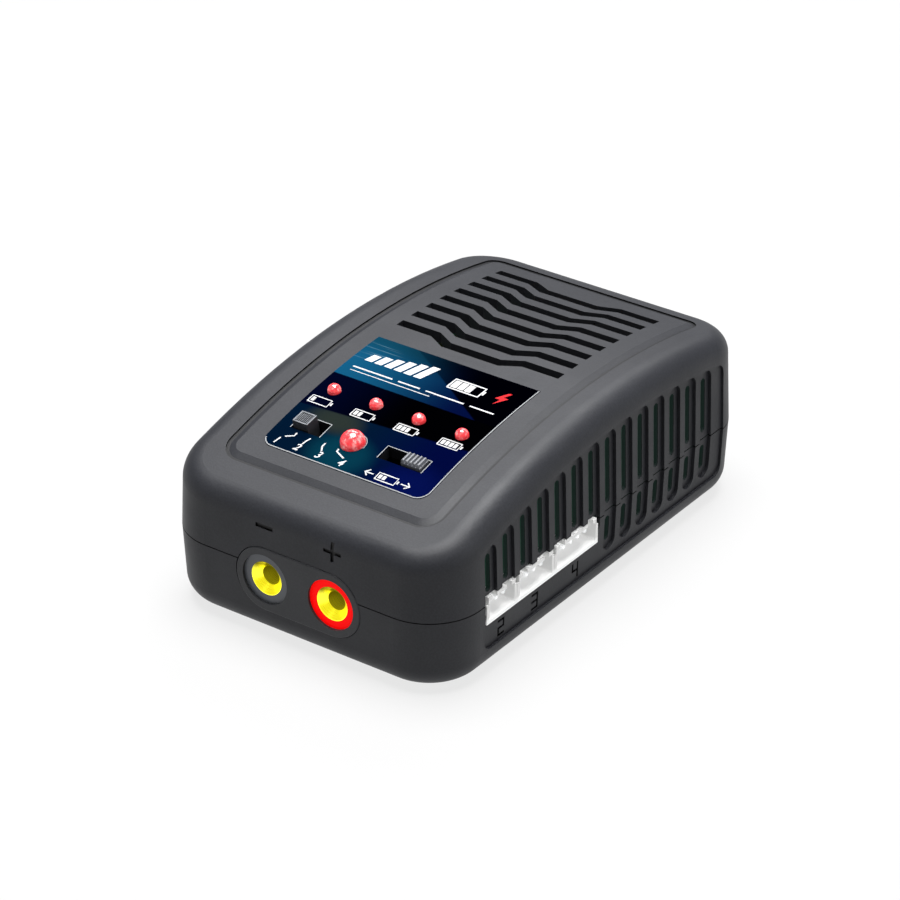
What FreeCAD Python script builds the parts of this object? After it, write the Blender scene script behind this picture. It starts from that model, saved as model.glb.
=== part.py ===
import FreeCAD, Part
import Sketcher

import math
import os

# A small mains balance battery charger: a two-part plastic case, 68 x 107 x 40 mm,
# with two 4 mm output sockets in front, three balance ports on the right side,
# two slide switches and five lamps on top, and a mains inlet at the back.
# The origin is at the middle of the footprint, on the surface that the feet stand on.
# +X is the side with the balance ports, -Y is the socket end and +Z is up.

document = FreeCAD.newDocument("balance_charger")

# ---------------------------------------------------------------- driving dimensions

DIMENSIONS = [
    # case
    ("case_width", 68.04, "width at the parting plane"),
    ("case_length", 106.94, "length at the parting plane"),
    ("corner_radius", 11.62, "vertical corners"),
    ("parting_height", 16.1, "parting plane above the floor"),
    ("case_bottom", 0.6, "underside of the lower shell"),
    ("wall", 2.2, "wall thickness"),
    ("draft_angle", 1.9, "inward lean of the walls, degrees"),
    ("parting_gap", 0.22, "line between the two shells"),
    ("shoulder_radius", 5.0, "rounding between top and walls"),
    ("heel_radius", 5.0, "rounding between bottom and walls"),
    # arched top
    ("arch_radius", 179.9, "radius of the control panel surface"),
    ("arch_peak_y", 8.72, "where the arch is highest"),
    ("arch_peak_height", 39.98, "height of the arch"),
    ("shelf_drop", 0.2, "outer shelf below the arch"),
    ("moat_drop", 0.52, "moat bottom below the arch"),
    ("moat_width", 2.05, "moat, from panel edge to outer edge"),
    ("panel_slope", 1.3, "sloped part of the moat"),
    ("panel_half_width", 23.5, "raised panel"),
    ("panel_front", -43.2, "front edge of the raised panel"),
    ("panel_back", 45.0, "back edge of the raised panel"),
    # grille on top
    ("grille_half_width", 19.43, "slot ends"),
    ("grille_first", 4.5, "front edge of the first slot"),
    ("grille_pitch", 4.86, "from slot to slot"),
    ("grille_slot", 2.27, "slot width"),
    ("grille_kink_inner", 6.05, "inner end of the sloping stretch"),
    ("grille_kink_outer", 10.2, "outer end of the sloping stretch"),
    ("grille_shift", 2.3, "the middle stretch lies this much further forward"),
    # side recess, pockets and slots
    ("recess_depth", 0.6, "shallow recess in each side"),
    ("recess_front", -40.2, "front edge"),
    ("recess_back", 43.15, "back edge"),
    ("recess_below", 10.4, "bottom edge under the parting plane"),
    ("recess_under_arch", 5.7, "top edge below the arch"),
    ("pocket_depth", 1.3, "pockets, from the wall's own surface"),
    ("pocket_width", 4.15, "pocket width"),
    ("pocket_pitch", 5.75, "from pocket to pocket"),
    ("pocket_first", -37.58, "middle of the first pocket"),
    ("pocket_below", 8.74, "pocket's lower end under the parting plane"),
    ("slot_width", 1.55, "through slots"),
    ("slot_under_arch", 7.9, "slot's upper end below the arch"),
    ("slot_above", 1.5, "upper slot's lower end above the parting plane"),
    ("slot_below_top", 1.45, "lower slot's upper end under the parting plane"),
    ("slot_below_bottom", 6.9, "lower slot's lower end under the parting plane"),
    # balance ports
    ("port_pitch", 2.5, "pin spacing"),
    ("port_ends", 4.95, "housing length beyond its pin row"),
    ("port_start", -38.95, "front end of the row of ports"),
    ("port_height", 5.78, "housing height"),
    ("port_below", 5.08, "housing bottom under the parting plane"),
    ("port_depth", 11.4, "housing depth"),
    ("port_wall", 0.8, "housing wall"),
    ("port_gap", 0.14, "gap around the ports"),
    ("port_face", 33.42, "front face of the ports"),
    ("pin_size", 0.64, "square pins"),
    # output sockets
    ("socket_spacing", 15.64, "between the two sockets"),
    ("socket_below", 2.56, "socket axes under the parting plane"),
    ("socket_ring_radius", 5.3, "coloured insulating rings"),
    ("socket_recess", 0.6, "rings stand back from the holder's face"),
    ("holder_radius", 6.9, "rounded ends of the socket holder"),
    ("holder_length", 5.0, "holder, front to back"),
    ("flare_radius", 3.45, "mouth of the contact"),
    ("flare_depth", 1.4, "depth of the conical mouth"),
    ("bore_radius", 2.0, "4 mm plug bore"),
    ("bore_length", 14.0, "bore depth"),
    ("contact_radius", 2.5, "outside of the contact tube"),
    # control panel
    ("label_half_width", 19.33, "printed label"),
    ("label_front", -39.7, "front edge of the label"),
    ("label_back", -1.45, "back edge of the label"),
    ("label_corner", 2.6, "front corners of the label"),
    ("label_sunk", 0.15, "label seat below the arch"),
    ("label_proud", 0.1, "label surface above the arch"),
    ("panel_tilt", 11.06, "lean of the control board, degrees"),
    ("panel_origin_y", -26.47, "control board's own origin"),
    ("panel_origin_z", 36.54, "arch height at that origin"),
    ("control_row", -5.53, "switches, along the leaning panel"),
    ("lamp_row", 5.37, "small lamps, along the leaning panel"),
    ("lamp_first", -15.35, "leftmost small lamp"),
    ("lamp_pitch", 10.13, "small lamp spacing"),
    ("lamp_radius", 1.36, "small lamp"),
    ("charge_lamp_x", -2.5, "large lamp"),
    ("charge_lamp_y", -5.94, "large lamp, along the leaning panel"),
    ("charge_lamp_radius", 2.5, "large lamp"),
    ("current_slot_left", -16.25, "slot of the current switch"),
    ("current_slot_right", -9.5, "slot of the current switch"),
    ("current_slot_half", 2.0, "half its width"),
    ("current_knob_length", 3.75, "knob along the slot"),
    ("current_knob_width", 3.5, "knob across the slot"),
    ("current_knob_rise", 1.55, "knob above the panel"),
    ("type_slot_left", 4.3, "slot of the battery type switch"),
    ("type_slot_right", 14.3, "slot of the battery type switch"),
    ("type_slot_half", 1.8, "half its width"),
    ("type_knob_length", 4.55, "knob along the slot"),
    ("type_knob_width", 3.1, "knob across the slot"),
    ("type_knob_rise", 1.1, "knob above the panel"),
    ("knob_clearance", 0.25, "knob to the end of its slot"),
    ("board_drop", 6.0, "control board's upper face below the panel"),
    ("control_board_thickness", 1.2, "control board"),
    # main board and fixings
    ("board_top_below", 5.1, "main board's upper face under the parting plane"),
    ("board_thickness", 1.6, "main board"),
    ("board_half_width", 29.5, "main board"),
    ("board_front", -45.5, "main board"),
    ("board_back", 47.0, "main board"),
    ("post_x", 24.0, "case screws from the middle"),
    ("post_y", 43.5, "case screws from the middle"),
    ("post_radius", 3.5, "screw posts"),
    ("screw_radius", 1.4, "case screw shank"),
    ("screw_head_radius", 2.7, "case screw head"),
    ("foot_radius", 4.0, "rubber feet"),
    ("foot_x", 21.5, "feet from the middle"),
    ("foot_y", 31.5, "feet from the middle"),
    ("foot_seat", 0.5, "feet are let into the shell"),
    # mains inlet
    ("inlet_half_width", 10.0, "inlet housing"),
    ("inlet_height", 11.6, "inlet housing"),
    ("inlet_depth", 16.0, "inlet housing"),
    ("inlet_pin_spacing", 8.6, "inlet pins"),
    ("inlet_pin_radius", 1.2, "inlet pins"),
    ("inlet_recess_radius", 3.9, "figure of eight recess"),
    ("inlet_recess_depth", 12.0, "recess depth"),
]

sheet = document.addObject("Spreadsheet::Sheet", "dims")
for row, (alias, number, _) in enumerate(DIMENSIONS, start=1):
    sheet.set(f"A{row}", str(number))
    sheet.setAlias(f"A{row}", alias)
document.recompute()


class Size:
    """A number together with the spreadsheet expression that it comes from."""

    def __init__(self, value, text):
        self.value = value
        self.text = text

    def join(self, other, sign, value):
        return Size(value, f"({self.text} {sign} {text_of(other)})")

    def __add__(self, other):
        return self.join(other, "+", self.value + value_of(other))

    def __sub__(self, other):
        return self.join(other, "-", self.value - value_of(other))

    def __mul__(self, other):
        return self.join(other, "*", self.value * value_of(other))

    def __truediv__(self, other):
        return self.join(other, "/", self.value / value_of(other))

    def __neg__(self):
        return Size(-self.value, f"(0 - {self.text})")

    def __radd__(self, other):
        return as_size(other) + self

    def __rsub__(self, other):
        return as_size(other) - self

    def __rmul__(self, other):
        return as_size(other) * self


def value_of(size):
    return size.value if isinstance(size, Size) else float(size)


def text_of(size):
    return size.text if isinstance(size, Size) else repr(float(size))


def as_size(size):
    return size if isinstance(size, Size) else Size(float(size), repr(float(size)))


def root(size):
    return Size(math.sqrt(value_of(size)), f"sqrt({text_of(size)})")


D = {alias: Size(number, f"dims.{alias}") for alias, number, _ in DIMENSIONS}

parting = D["parting_height"]
half_width = D["case_width"] / 2
half_length = D["case_length"] / 2
arch_centre = D["arch_peak_height"] - D["arch_radius"]
board_top = parting - D["board_top_below"]
socket_height = parting - D["socket_below"]


def arch_height(y, drop=0):
    """Height of the arched top at y, lowered by drop."""
    radius = D["arch_radius"] - drop
    offset = D["arch_peak_y"] - y
    return arch_centre + root(radius * radius - offset * offset)


# ---------------------------------------------------------------- modelling helpers

def bind(item, **sizes):
    """Set properties of an object from sizes, keeping the spreadsheet expressions."""
    for name, size in sizes.items():
        setattr(item, name, value_of(size))
        if isinstance(size, Size):
            item.setExpression(name, size.text)


def place(item, x=0, y=0, z=0, axis=(0, 0, 1), angle=0):
    """Give an object its place, bound to the spreadsheet."""
    turn = FreeCAD.Rotation(FreeCAD.Vector(*axis), value_of(angle))
    item.Placement = FreeCAD.Placement(FreeCAD.Vector(value_of(x), value_of(y), value_of(z)), turn)
    for name, size in (("x", x), ("y", y), ("z", z)):
        if isinstance(size, Size):
            item.setExpression(f"Placement.Base.{name}", size.text)


def box(label, x, y, z):
    """A block between the pairs of limits x, y and z."""
    block = document.addObject("Part::Box", label)
    bind(block, Length=x[1] - x[0], Width=y[1] - y[0], Height=z[1] - z[0])
    place(block, x[0], y[0], z[0])
    return block


def cylinder(label, radius, height, x, y, z, axis=(0, 0, 1), angle=0):
    """A cylinder that starts at x, y, z and points along +Z, turned by angle about axis."""
    rod = document.addObject("Part::Cylinder", label)
    bind(rod, Radius=radius, Height=height)
    place(rod, x, y, z, axis, angle)
    return rod


def fuse(label, pieces):
    joined = document.addObject("Part::MultiFuse", label)
    joined.Shapes = pieces
    joined.Refine = False
    return joined


def cut(label, base, tool):
    result = document.addObject("Part::Cut", label)
    result.Base = base
    result.Tool = tool
    result.Refine = False
    return result


def common(label, base, tool):
    result = document.addObject("Part::Common", label)
    result.Base = base
    result.Tool = tool
    result.Refine = False
    return result


def compound(label, pieces):
    group = document.addObject("Part::Compound", label)
    group.Links = pieces
    return group


def new_body(label, x=0, y=0, z=0, axis=(0, 0, 1), angle=0):
    body = document.addObject("PartDesign::Body", label)
    place(body, x, y, z, axis, angle)
    return body


def new_sketch(body, role, offset=0):
    """A drawing on one of the body's own origin planes, moved along the plane's normal."""
    sketch = body.newObject("Sketcher::SketchObject", f"{body.Name}_sketch")
    plane = [item for item in body.Origin.OriginFeatures if item.Role == role][0]
    sketch.AttachmentSupport = (plane, "")
    sketch.MapMode = "FlatFace"
    sketch.AttachmentOffset = FreeCAD.Placement(
        FreeCAD.Vector(0, 0, value_of(offset)), FreeCAD.Rotation())
    if isinstance(offset, Size):
        sketch.setExpression("AttachmentOffset.Base.z", offset.text)
    return Drawing(sketch)


class Drawing:
    """Geometry and constraints of one sketch, handed over together by finish()."""

    def __init__(self, sketch):
        self.sketch = sketch
        self.geometry = []
        self.constraints = []
        self.sizes = []

    def draw(self, shape):
        self.geometry.append(shape)
        return len(self.geometry) - 1

    def hold(self, *arguments):
        """Add a constraint; a size as its last argument is bound to the spreadsheet."""
        size = arguments[-1]
        if isinstance(size, Size):
            self.sizes.append((len(self.constraints), size.text))
            arguments = (*arguments[:-1], size.value)
        self.constraints.append(Sketcher.Constraint(*arguments))

    def hold_point(self, edge, end, x=None, y=None):
        """Fix a point's distance from the sketch's origin."""
        if x is not None:
            self.hold("DistanceX", -1, 1, edge, end, as_size(x))
        if y is not None:
            self.hold("DistanceY", -1, 1, edge, end, as_size(y))

    def finish(self):
        self.sketch.addGeometry(self.geometry, False)
        self.sketch.addConstraint(self.constraints)
        for index, text in self.sizes:
            self.sketch.setExpression(f"Constraints[{index}]", text)
        return self.sketch

    def outline(self, points, arcs=None):
        """A closed outline. arcs gives (centre x, centre y, radius) by edge number; a point on
        an arc is held by the coordinate that changes most along it."""
        arcs = arcs or {}
        count = len(points)
        edges = []
        for i in range(count):
            start, end = vector(points[i]), vector(points[(i + 1) % count])
            if i not in arcs:
                edges.append((self.draw(Part.LineSegment(start, end)), 1, 2))
                continue
            centre_x, centre_y, radius = arcs[i]
            centre = vector((centre_x, centre_y))
            first = math.atan2(start.y - centre.y, start.x - centre.x)
            last = math.atan2(end.y - centre.y, end.x - centre.x)
            backwards = last < first
            circle = Part.Circle(centre, FreeCAD.Vector(0, 0, 1), value_of(radius))
            edge = self.draw(Part.ArcOfCircle(circle, min(first, last), max(first, last)))
            edges.append((edge, 2, 1) if backwards else (edge, 1, 2))
            self.hold("Radius", edge, as_size(radius))
            self.hold_point(edge, 3, centre_x, centre_y)
        for i in range(count):
            edge, start, _ = edges[i]
            before, _, end = edges[i - 1]
            self.hold("Coincident", before, end, edge, start)
            x, y = points[i]
            arc = arcs.get(i) or arcs.get((i - 1) % count)
            if arc is None:
                self.hold_point(edge, start, x, y)
            elif abs(value_of(x) - value_of(arc[0])) < abs(value_of(y) - value_of(arc[1])):
                self.hold_point(edge, start, x=x)
            else:
                self.hold_point(edge, start, y=y)

    def rectangle(self, x, y):
        self.outline([(x[0], y[0]), (x[1], y[0]), (x[1], y[1]), (x[0], y[1])])

    def circle(self, radius, x=0, y=0):
        centre = vector((x, y))
        edge = self.draw(Part.Circle(centre, FreeCAD.Vector(0, 0, 1), value_of(radius)))
        self.hold("Radius", edge, as_size(radius))
        self.hold_point(edge, 3, x, y)

    def stadium(self, first, last, radius):
        """A slot with round ends centred on first and last."""
        start, end = vector(first), vector(last)
        size = value_of(radius)
        along_slot = end.sub(start)
        angle = math.atan2(along_slot.y, along_slot.x)
        side = FreeCAD.Vector(-math.sin(angle), math.cos(angle), 0).multiply(size)
        up = FreeCAD.Vector(0, 0, 1)
        quarter = math.pi / 2
        arc_start = self.draw(Part.ArcOfCircle(
            Part.Circle(start, up, size), angle + quarter, angle + 3 * quarter))
        arc_end = self.draw(Part.ArcOfCircle(
            Part.Circle(end, up, size), angle - quarter, angle + quarter))
        lower = self.draw(Part.LineSegment(start.sub(side), end.sub(side)))
        upper = self.draw(Part.LineSegment(end.add(side), start.add(side)))
        for edge, edge_end, line, line_end in ((arc_start, 2, lower, 1), (lower, 2, arc_end, 1),
                                               (arc_end, 2, upper, 1), (upper, 2, arc_start, 1)):
            self.hold("Tangent", edge, edge_end, line, line_end)
        self.hold_point(arc_start, 3, *first)
        self.hold_point(arc_end, 3, *last)
        self.hold("Radius", arc_start, as_size(radius))


def vector(point):
    return FreeCAD.Vector(value_of(point[0]), value_of(point[1]), 0)


def pad(body, drawing, length, reverse=False, middle=False, taper=None):
    feature = body.newObject("PartDesign::Pad", f"{body.Name}_pad")
    feature.Profile = drawing.finish()
    bind(feature, Length=length)
    feature.Reversed = reverse
    if middle:
        feature.SideType = "Symmetric"
    if taper is not None:
        bind(feature, TaperAngle=taper)
    document.recompute()
    return feature


def pocket(body, drawing, length, reverse=False, middle=False):
    before = body.Shape.Volume
    feature = body.newObject("PartDesign::Pocket", f"{body.Name}_pocket")
    feature.Profile = drawing.finish()
    bind(feature, Length=length)
    feature.Reversed = reverse
    if middle:
        feature.SideType = "Symmetric"
    document.recompute()
    if body.Shape.Volume >= before - 1e-6:
        raise RuntimeError(f"a pocket in {body.Label} cuts nothing")
    return feature


def revolve(body, points, arcs=None):
    """Turn an outline in the body's XZ plane about its Z axis."""
    drawing = new_sketch(body, "XZ_Plane")
    drawing.outline(points, arcs)
    feature = body.newObject("PartDesign::Revolution", f"{body.Name}_revolution")
    feature.Profile = drawing.finish()
    feature.ReferenceAxis = (drawing.sketch, ["V_Axis"])
    feature.Angle = 360
    document.recompute()
    return feature


def edges_where(shape, test):
    """Names of the edges for which test(first point, last point, edge) holds."""
    names = []
    for number, edge in enumerate(shape.Edges, start=1):
        if len(edge.Vertexes) < 2:
            continue
        if test(edge.Vertexes[0].Point, edge.Vertexes[-1].Point, edge):
            names.append(f"Edge{number}")
    return names


def along(axis, first, last, slack=0.25):
    """True if the line from first to last runs along the axis, give or take its draft."""
    span = [abs(a - b) for a, b in zip(first, last)]
    across = sum(span) - span[axis]
    return span[axis] > 0.05 and across < slack * span[axis]


def fillet(body, feature, names, radius):
    rounding = body.newObject("PartDesign::Fillet", f"{body.Name}_fillet")
    rounding.Base = (feature, names)
    bind(rounding, Radius=radius)
    document.recompute()
    return rounding


# ---------------------------------------------------------------- case shells

def arch_outline(drawing, y, drop_top, drop_bottom):
    """The band between two arcs of the arch, from y[0] to y[1], in a YZ sketch."""
    top_radius = D["arch_radius"] - drop_top
    bottom_radius = D["arch_radius"] - drop_bottom
    drawing.outline(
            [(y[0], arch_height(y[0], drop_bottom)), (y[1], arch_height(y[1], drop_bottom)),
             (y[1], arch_height(y[1], drop_top)), (y[0], arch_height(y[0], drop_top))],
            {0: (D["arch_peak_y"], arch_centre, bottom_radius),
             2: (D["arch_peak_y"], arch_centre, top_radius)})


def arch_slab(label, half_x, y, drop_top, drop_bottom, front_corner, back_corner):
    """A slab that follows the arch, with rounded corners seen from above."""
    body = new_body(label)
    drawing = new_sketch(body, "YZ_Plane")
    arch_outline(drawing, y, drop_top, drop_bottom)
    feature = pad(body, drawing, half_x * 2, middle=True)
    middle_y = (value_of(y[0]) + value_of(y[1])) / 2
    for radius, back in ((front_corner, False), (back_corner, True)):
        if radius is None:
            continue
        names = edges_where(body.Shape, lambda a, b, edge: along(2, a, b)
                            and (a.y > middle_y) == back)
        feature = fillet(body, feature, names, radius)
    return body, feature


def shell_block(label, inset, z, upwards, corner, edge_radius, arch_drop=None):
    """A block with leaning walls, standing on or hanging from z, inset from the case outline."""
    body = new_body(label)
    drawing = new_sketch(body, "XY_Plane", z)
    drawing.rectangle((inset - half_width, half_width - inset),
              (inset - half_length, half_length - inset))
    length = D["arch_peak_height"] - z + 2 if upwards else z - D["case_bottom"] - inset
    feature = pad(body, drawing, length, reverse=not upwards, taper=-D["draft_angle"])
    if corner is not None:
        names = edges_where(body.Shape, lambda a, b, edge: along(2, a, b))
        feature = fillet(body, feature, names, corner)
    if arch_drop is not None:
        above = new_sketch(body, "YZ_Plane")
        reach = half_length + 5
        above.outline(
                [(-reach, arch_height(-reach, arch_drop)), (reach, arch_height(reach, arch_drop)),
                 (reach, D["arch_peak_height"] + 10), (-reach, D["arch_peak_height"] + 10)],
                {0: (D["arch_peak_y"], arch_centre, D["arch_radius"] - arch_drop)})
        feature = pocket(body, above, D["case_width"] + 10, middle=True)
    if edge_radius is not None:
        far = value_of(z) + (4 if upwards else -4)
        names = edges_where(body.Shape, lambda a, b, edge: not along(2, a, b, 0.6)
                            and (min(a.z, b.z) > far if upwards else max(a.z, b.z) < far))
        feature = fillet(body, feature, names, edge_radius)
    return body


wall = D["wall"]
upper_start = parting + D["parting_gap"] / 2
lower_start = parting - D["parting_gap"] / 2

upper_outer = shell_block("upper_outer", 0, upper_start, True,
                          D["corner_radius"], D["shoulder_radius"], D["shelf_drop"])
lower_outer = shell_block("lower_outer", 0, lower_start, False,
                          D["corner_radius"], D["heel_radius"])
upper_hollow = shell_block("upper_hollow", wall, upper_start - 1, True,
                           D["corner_radius"] - wall, D["shoulder_radius"] - 1.6,
                           D["shelf_drop"] + wall)
lower_hollow = shell_block("lower_hollow", wall, lower_start + 1, False,
                           D["corner_radius"] - wall, D["heel_radius"] - 2.2)

# The top: a moat is sunk into the outer shelf, and the sloped-edged panel stands inside it.
moat_outer_x = D["panel_half_width"] + D["moat_width"]
moat_y = (D["panel_front"] - D["moat_width"], D["panel_back"] + D["moat_width"])
moat, _ = arch_slab("moat", moat_outer_x, moat_y, -3, D["moat_drop"], 4.6, 3)

# The slope runs on a little below the moat bottom, so that the two surfaces cross.
slope_drop = D["moat_drop"] + 0.12
slope = D["panel_slope"] * slope_drop / D["moat_drop"]
panel_y = (D["panel_front"] - slope, D["panel_back"] + slope)
panel, panel_feature = arch_slab("raised_panel", D["panel_half_width"] + slope, panel_y,
                                 0, D["moat_drop"] + 1, 4.1, 2.5)


def on_arch_top(a, b, edge):
    middle = edge.valueAt((edge.FirstParameter + edge.LastParameter) / 2)
    return all(abs(p.z - arch_height(p.y).value) < 0.02 for p in (a, b, middle))


def sloped_edge(body, feature):
    """Bevel the panel's top edge down to the moat bottom."""
    bevel = body.newObject("PartDesign::Chamfer", "panel_bevel")
    bevel.Base = (feature, edges_where(body.Shape, on_arch_top))
    bevel.ChamferType = "Two distances"
    bind(bevel, Size=slope_drop, Size2=slope)
    document.recompute()


sloped_edge(panel, panel_feature)

# The side recess, with pockets and through slots, is the same on both sides; the front half
# of the right side has the balance ports instead of the lower slots.
POCKETS = 14
PORT_POCKETS = 7
WALL_REACH = 40


def pocket_y(number):
    return D["pocket_first"] + D["pocket_pitch"] * number


def side_stadium(label, right, y, bottom, top, radius):
    """An upright slot with round ends, as a bar from the middle out to one side."""
    body = new_body(label)
    drawing = new_sketch(body, "YZ_Plane")
    drawing.stadium((y, bottom + radius), (y, top - radius), radius)
    pad(body, drawing, WALL_REACH, reverse=not right)
    return body


def side_bars(right):
    """The bars that cut the pockets and the through slots of one side."""
    side = "right" if right else "left"
    pocket_bars, slot_bars = [], []
    for number in range(POCKETS):
        y = pocket_y(number)
        beside_ports = right and number < PORT_POCKETS
        below = 3.5 if beside_ports else D["pocket_below"]
        pocket_bars.append(side_stadium(f"{side}_pocket_{number}", right, y, parting - below,
                                        arch_height(y, D["recess_under_arch"] + 0.3),
                                        D["pocket_width"] / 2))
        slot_bars.append(side_stadium(f"{side}_upper_slot_{number}", right, y,
                                      parting + D["slot_above"],
                                      arch_height(y, D["slot_under_arch"]), D["slot_width"] / 2))
        if not beside_ports:
            slot_bars.append(side_stadium(f"{side}_lower_slot_{number}", right, y,
                                          parting - D["slot_below_bottom"],
                                          parting - D["slot_below_top"], D["slot_width"] / 2))
    return pocket_bars, slot_bars


def recess_prism():
    body = new_body("recess_prism")
    drawing = new_sketch(body, "YZ_Plane")
    y = (D["recess_front"], D["recess_back"])
    bottom = parting - D["recess_below"]
    drop = D["recess_under_arch"]
    drawing.outline(
            [(y[0], bottom), (y[1], bottom), (y[1], arch_height(y[1], drop)),
             (y[0], arch_height(y[0], drop))],
            {2: (D["arch_peak_y"], arch_centre, D["arch_radius"] - drop)})
    feature = pad(body, drawing, WALL_REACH * 2, middle=True)
    names = edges_where(body.Shape, lambda a, b, edge: along(0, a, b))
    fillet(body, feature, names, 2.4)
    return body


recess = recess_prism()
left_pockets, left_slots = side_bars(False)
right_pockets, right_slots = side_bars(True)
side_slots = fuse("side_slots", left_slots + right_slots)
side_pockets = fuse("side_pockets", left_pockets + right_pockets)


def side_cutters(part, start, upwards):
    """What the recess and the pockets take from a shell: prisms less the wall left behind."""
    cutters = []
    for name, prism, depth in (("recess", recess, D["recess_depth"]),
                               ("pockets", side_pockets, D["pocket_depth"])):
        left = shell_block(f"{part}_{name}_core", depth, start, upwards, None, None)
        cutters.append(cut(f"{part}_{name}", prism, left))
    return cutters


# The grille: eight slots whose middle stretch is set forward.
GRILLE_SLOTS = 8


def grille_bar(number):
    """One slot of the grille, as a bar that stands through the top."""
    body = new_body(f"grille_bar_{number}")
    drawing = new_sketch(body, "XY_Plane", D["arch_peak_height"] - 12)
    end, outer, inner = D["grille_half_width"], D["grille_kink_outer"], D["grille_kink_inner"]
    front = D["grille_first"] + D["grille_pitch"] * number
    back = front + D["grille_slot"]
    shift = D["grille_shift"]
    # The front edge turns a little further out than the back edge, which keeps the width.
    lead = 0.7
    drawing.outline([
        (-end, front), (-outer - lead, front), (-inner - lead, front - shift),
        (inner + lead, front - shift), (outer + lead, front), (end, front),
        (end, back), (outer, back), (inner, back - shift),
        (-inner, back - shift), (-outer, back), (-end, back)])
    pad(body, drawing, 20)
    return body


grille_bars = [grille_bar(number) for number in range(GRILLE_SLOTS)]

# Two ribs run under the grille and carry its bars.
rib_x = 8.1
rib_half = 0.9


def under_arch(label, x, y, drop_top, drop_bottom):
    body = new_body(label, x)
    drawing = new_sketch(body, "YZ_Plane")
    arch_outline(drawing, y, drop_top, drop_bottom)
    pad(body, drawing, rib_half * 2, middle=True)
    return body


grille_back = D["grille_first"] + D["grille_pitch"] * GRILLE_SLOTS
ribs = [under_arch(f"grille_rib_{side}", x, (D["grille_first"] - 4, grille_back + 1.5),
                   D["shelf_drop"] + wall - 0.1, D["shelf_drop"] + wall + 2.2)
        for side, x in (("left", -rib_x), ("right", rib_x))]

# Openings for what stands in the walls.
port_lengths = [D["port_pitch"] * (pins - 1) + D["port_ends"] for pins in (3, 4, 5)]
port_row = port_lengths[0] + port_lengths[1] + port_lengths[2]
gap = D["port_gap"]
port_window = box("port_window", (25, 40),
                  (D["port_start"] - gap, D["port_start"] + port_row + gap),
                  (parting - D["port_below"] - gap,
                   parting - D["port_below"] + D["port_height"] + gap))
inlet_base = board_top
inlet_top = inlet_base + D["inlet_height"]
inlet_middle = (inlet_base + inlet_top) / 2
inlet_window = box("inlet_window",
                   (-D["inlet_half_width"] - 0.12, D["inlet_half_width"] + 0.12),
                   (half_length - 8, half_length + 5), (inlet_base - 0.12, inlet_top + 0.12))


def holder_prism(label, radius, y_back, y_front):
    """A stadium across the two sockets, between two planes facing the front."""
    body = new_body(label, 0, y_back, socket_height)
    drawing = new_sketch(body, "XZ_Plane")
    drawing.stadium((-D["socket_spacing"] / 2, 0),
            (D["socket_spacing"] / 2, 0), radius)
    return body, pad(body, drawing, y_back - y_front)


holder_window, _ = holder_prism("holder_window", D["holder_radius"] + 0.08,
                                8 - half_length, -half_length - 5)


def leaning(label, x=0, v=0, w=0):
    """A body on the leaning control panel: v is measured up the lean and w square to it."""
    lean = math.radians(D["panel_tilt"].value)
    body = new_body(label)
    place(body, x, 0, 0, (1, 0, 0), D["panel_tilt"])
    angle = f"{D['panel_tilt'].text} * 1 deg"
    v, w = as_size(v), as_size(w)
    y = Size(D["panel_origin_y"].value + v.value * math.cos(lean) - w.value * math.sin(lean),
             f"{D['panel_origin_y'].text} + {v.text} * cos({angle}) - {w.text} * sin({angle})")
    z = Size(D["panel_origin_z"].value + v.value * math.sin(lean) + w.value * math.cos(lean),
             f"{D['panel_origin_z'].text} + {v.text} * sin({angle}) + {w.text} * cos({angle})")
    place(body, x, y, z, (1, 0, 0), D["panel_tilt"])
    return body


def leaning_block(label, x, v, w):
    """A block on the leaning panel, between pairs of limits."""
    body = leaning(label)
    drawing = new_sketch(body, "XY_Plane", w[0])
    drawing.rectangle(x, v)
    feature = pad(body, drawing, w[1] - w[0])
    return body, feature


row = D["control_row"]
current_slot, _ = leaning_block(
    "current_slot", (D["current_slot_left"], D["current_slot_right"]),
    (row - D["current_slot_half"], row + D["current_slot_half"]), (-6, 3))
type_slot, _ = leaning_block(
    "type_slot", (D["type_slot_left"], D["type_slot_right"]),
    (row - D["type_slot_half"], row + D["type_slot_half"]), (-6, 3))


def lamp_hole(label, x, v, radius):
    body = leaning(label, x, v, -6)
    drawing = new_sketch(body, "XY_Plane")
    drawing.circle(radius)
    pad(body, drawing, 9)
    return body


SMALL_LAMPS = 4
lamp_places = [(D["lamp_first"] + D["lamp_pitch"] * number, D["lamp_row"], D["lamp_radius"])
               for number in range(SMALL_LAMPS)]
lamp_places.append((D["charge_lamp_x"], D["charge_lamp_y"], D["charge_lamp_radius"]))
lamp_holes = [lamp_hole(f"lamp_hole_{number}", x, v, radius + 0.08)
              for number, (x, v, radius) in enumerate(lamp_places, start=1)]

label_seat, _ = arch_slab("label_seat", D["label_half_width"] + 0.06,
                          (D["label_front"] - 0.06, D["label_back"] + 0.06),
                          -3, D["label_sunk"], D["label_corner"], None)


# Polarity marks over the sockets, and pin counts under the balance ports, are cut 0.3 deep.
mark_z = parting + 8.9
mark_y = (-half_length - 1, 0.62 - half_length)
minus_x = -D["socket_spacing"] / 2
plus_x = D["socket_spacing"] / 2 + 0.4
front_marks = [
    box("minus_mark", (minus_x - 2.05, minus_x + 2.05), mark_y, (mark_z - 0.45, mark_z + 0.45)),
    box("plus_bar", (plus_x - 2.05, plus_x + 2.05), mark_y, (mark_z - 0.38, mark_z + 0.38)),
    box("plus_post", (plus_x - 0.38, plus_x + 0.38), mark_y, (mark_z - 2.05, mark_z + 2.05)),
]

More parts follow.
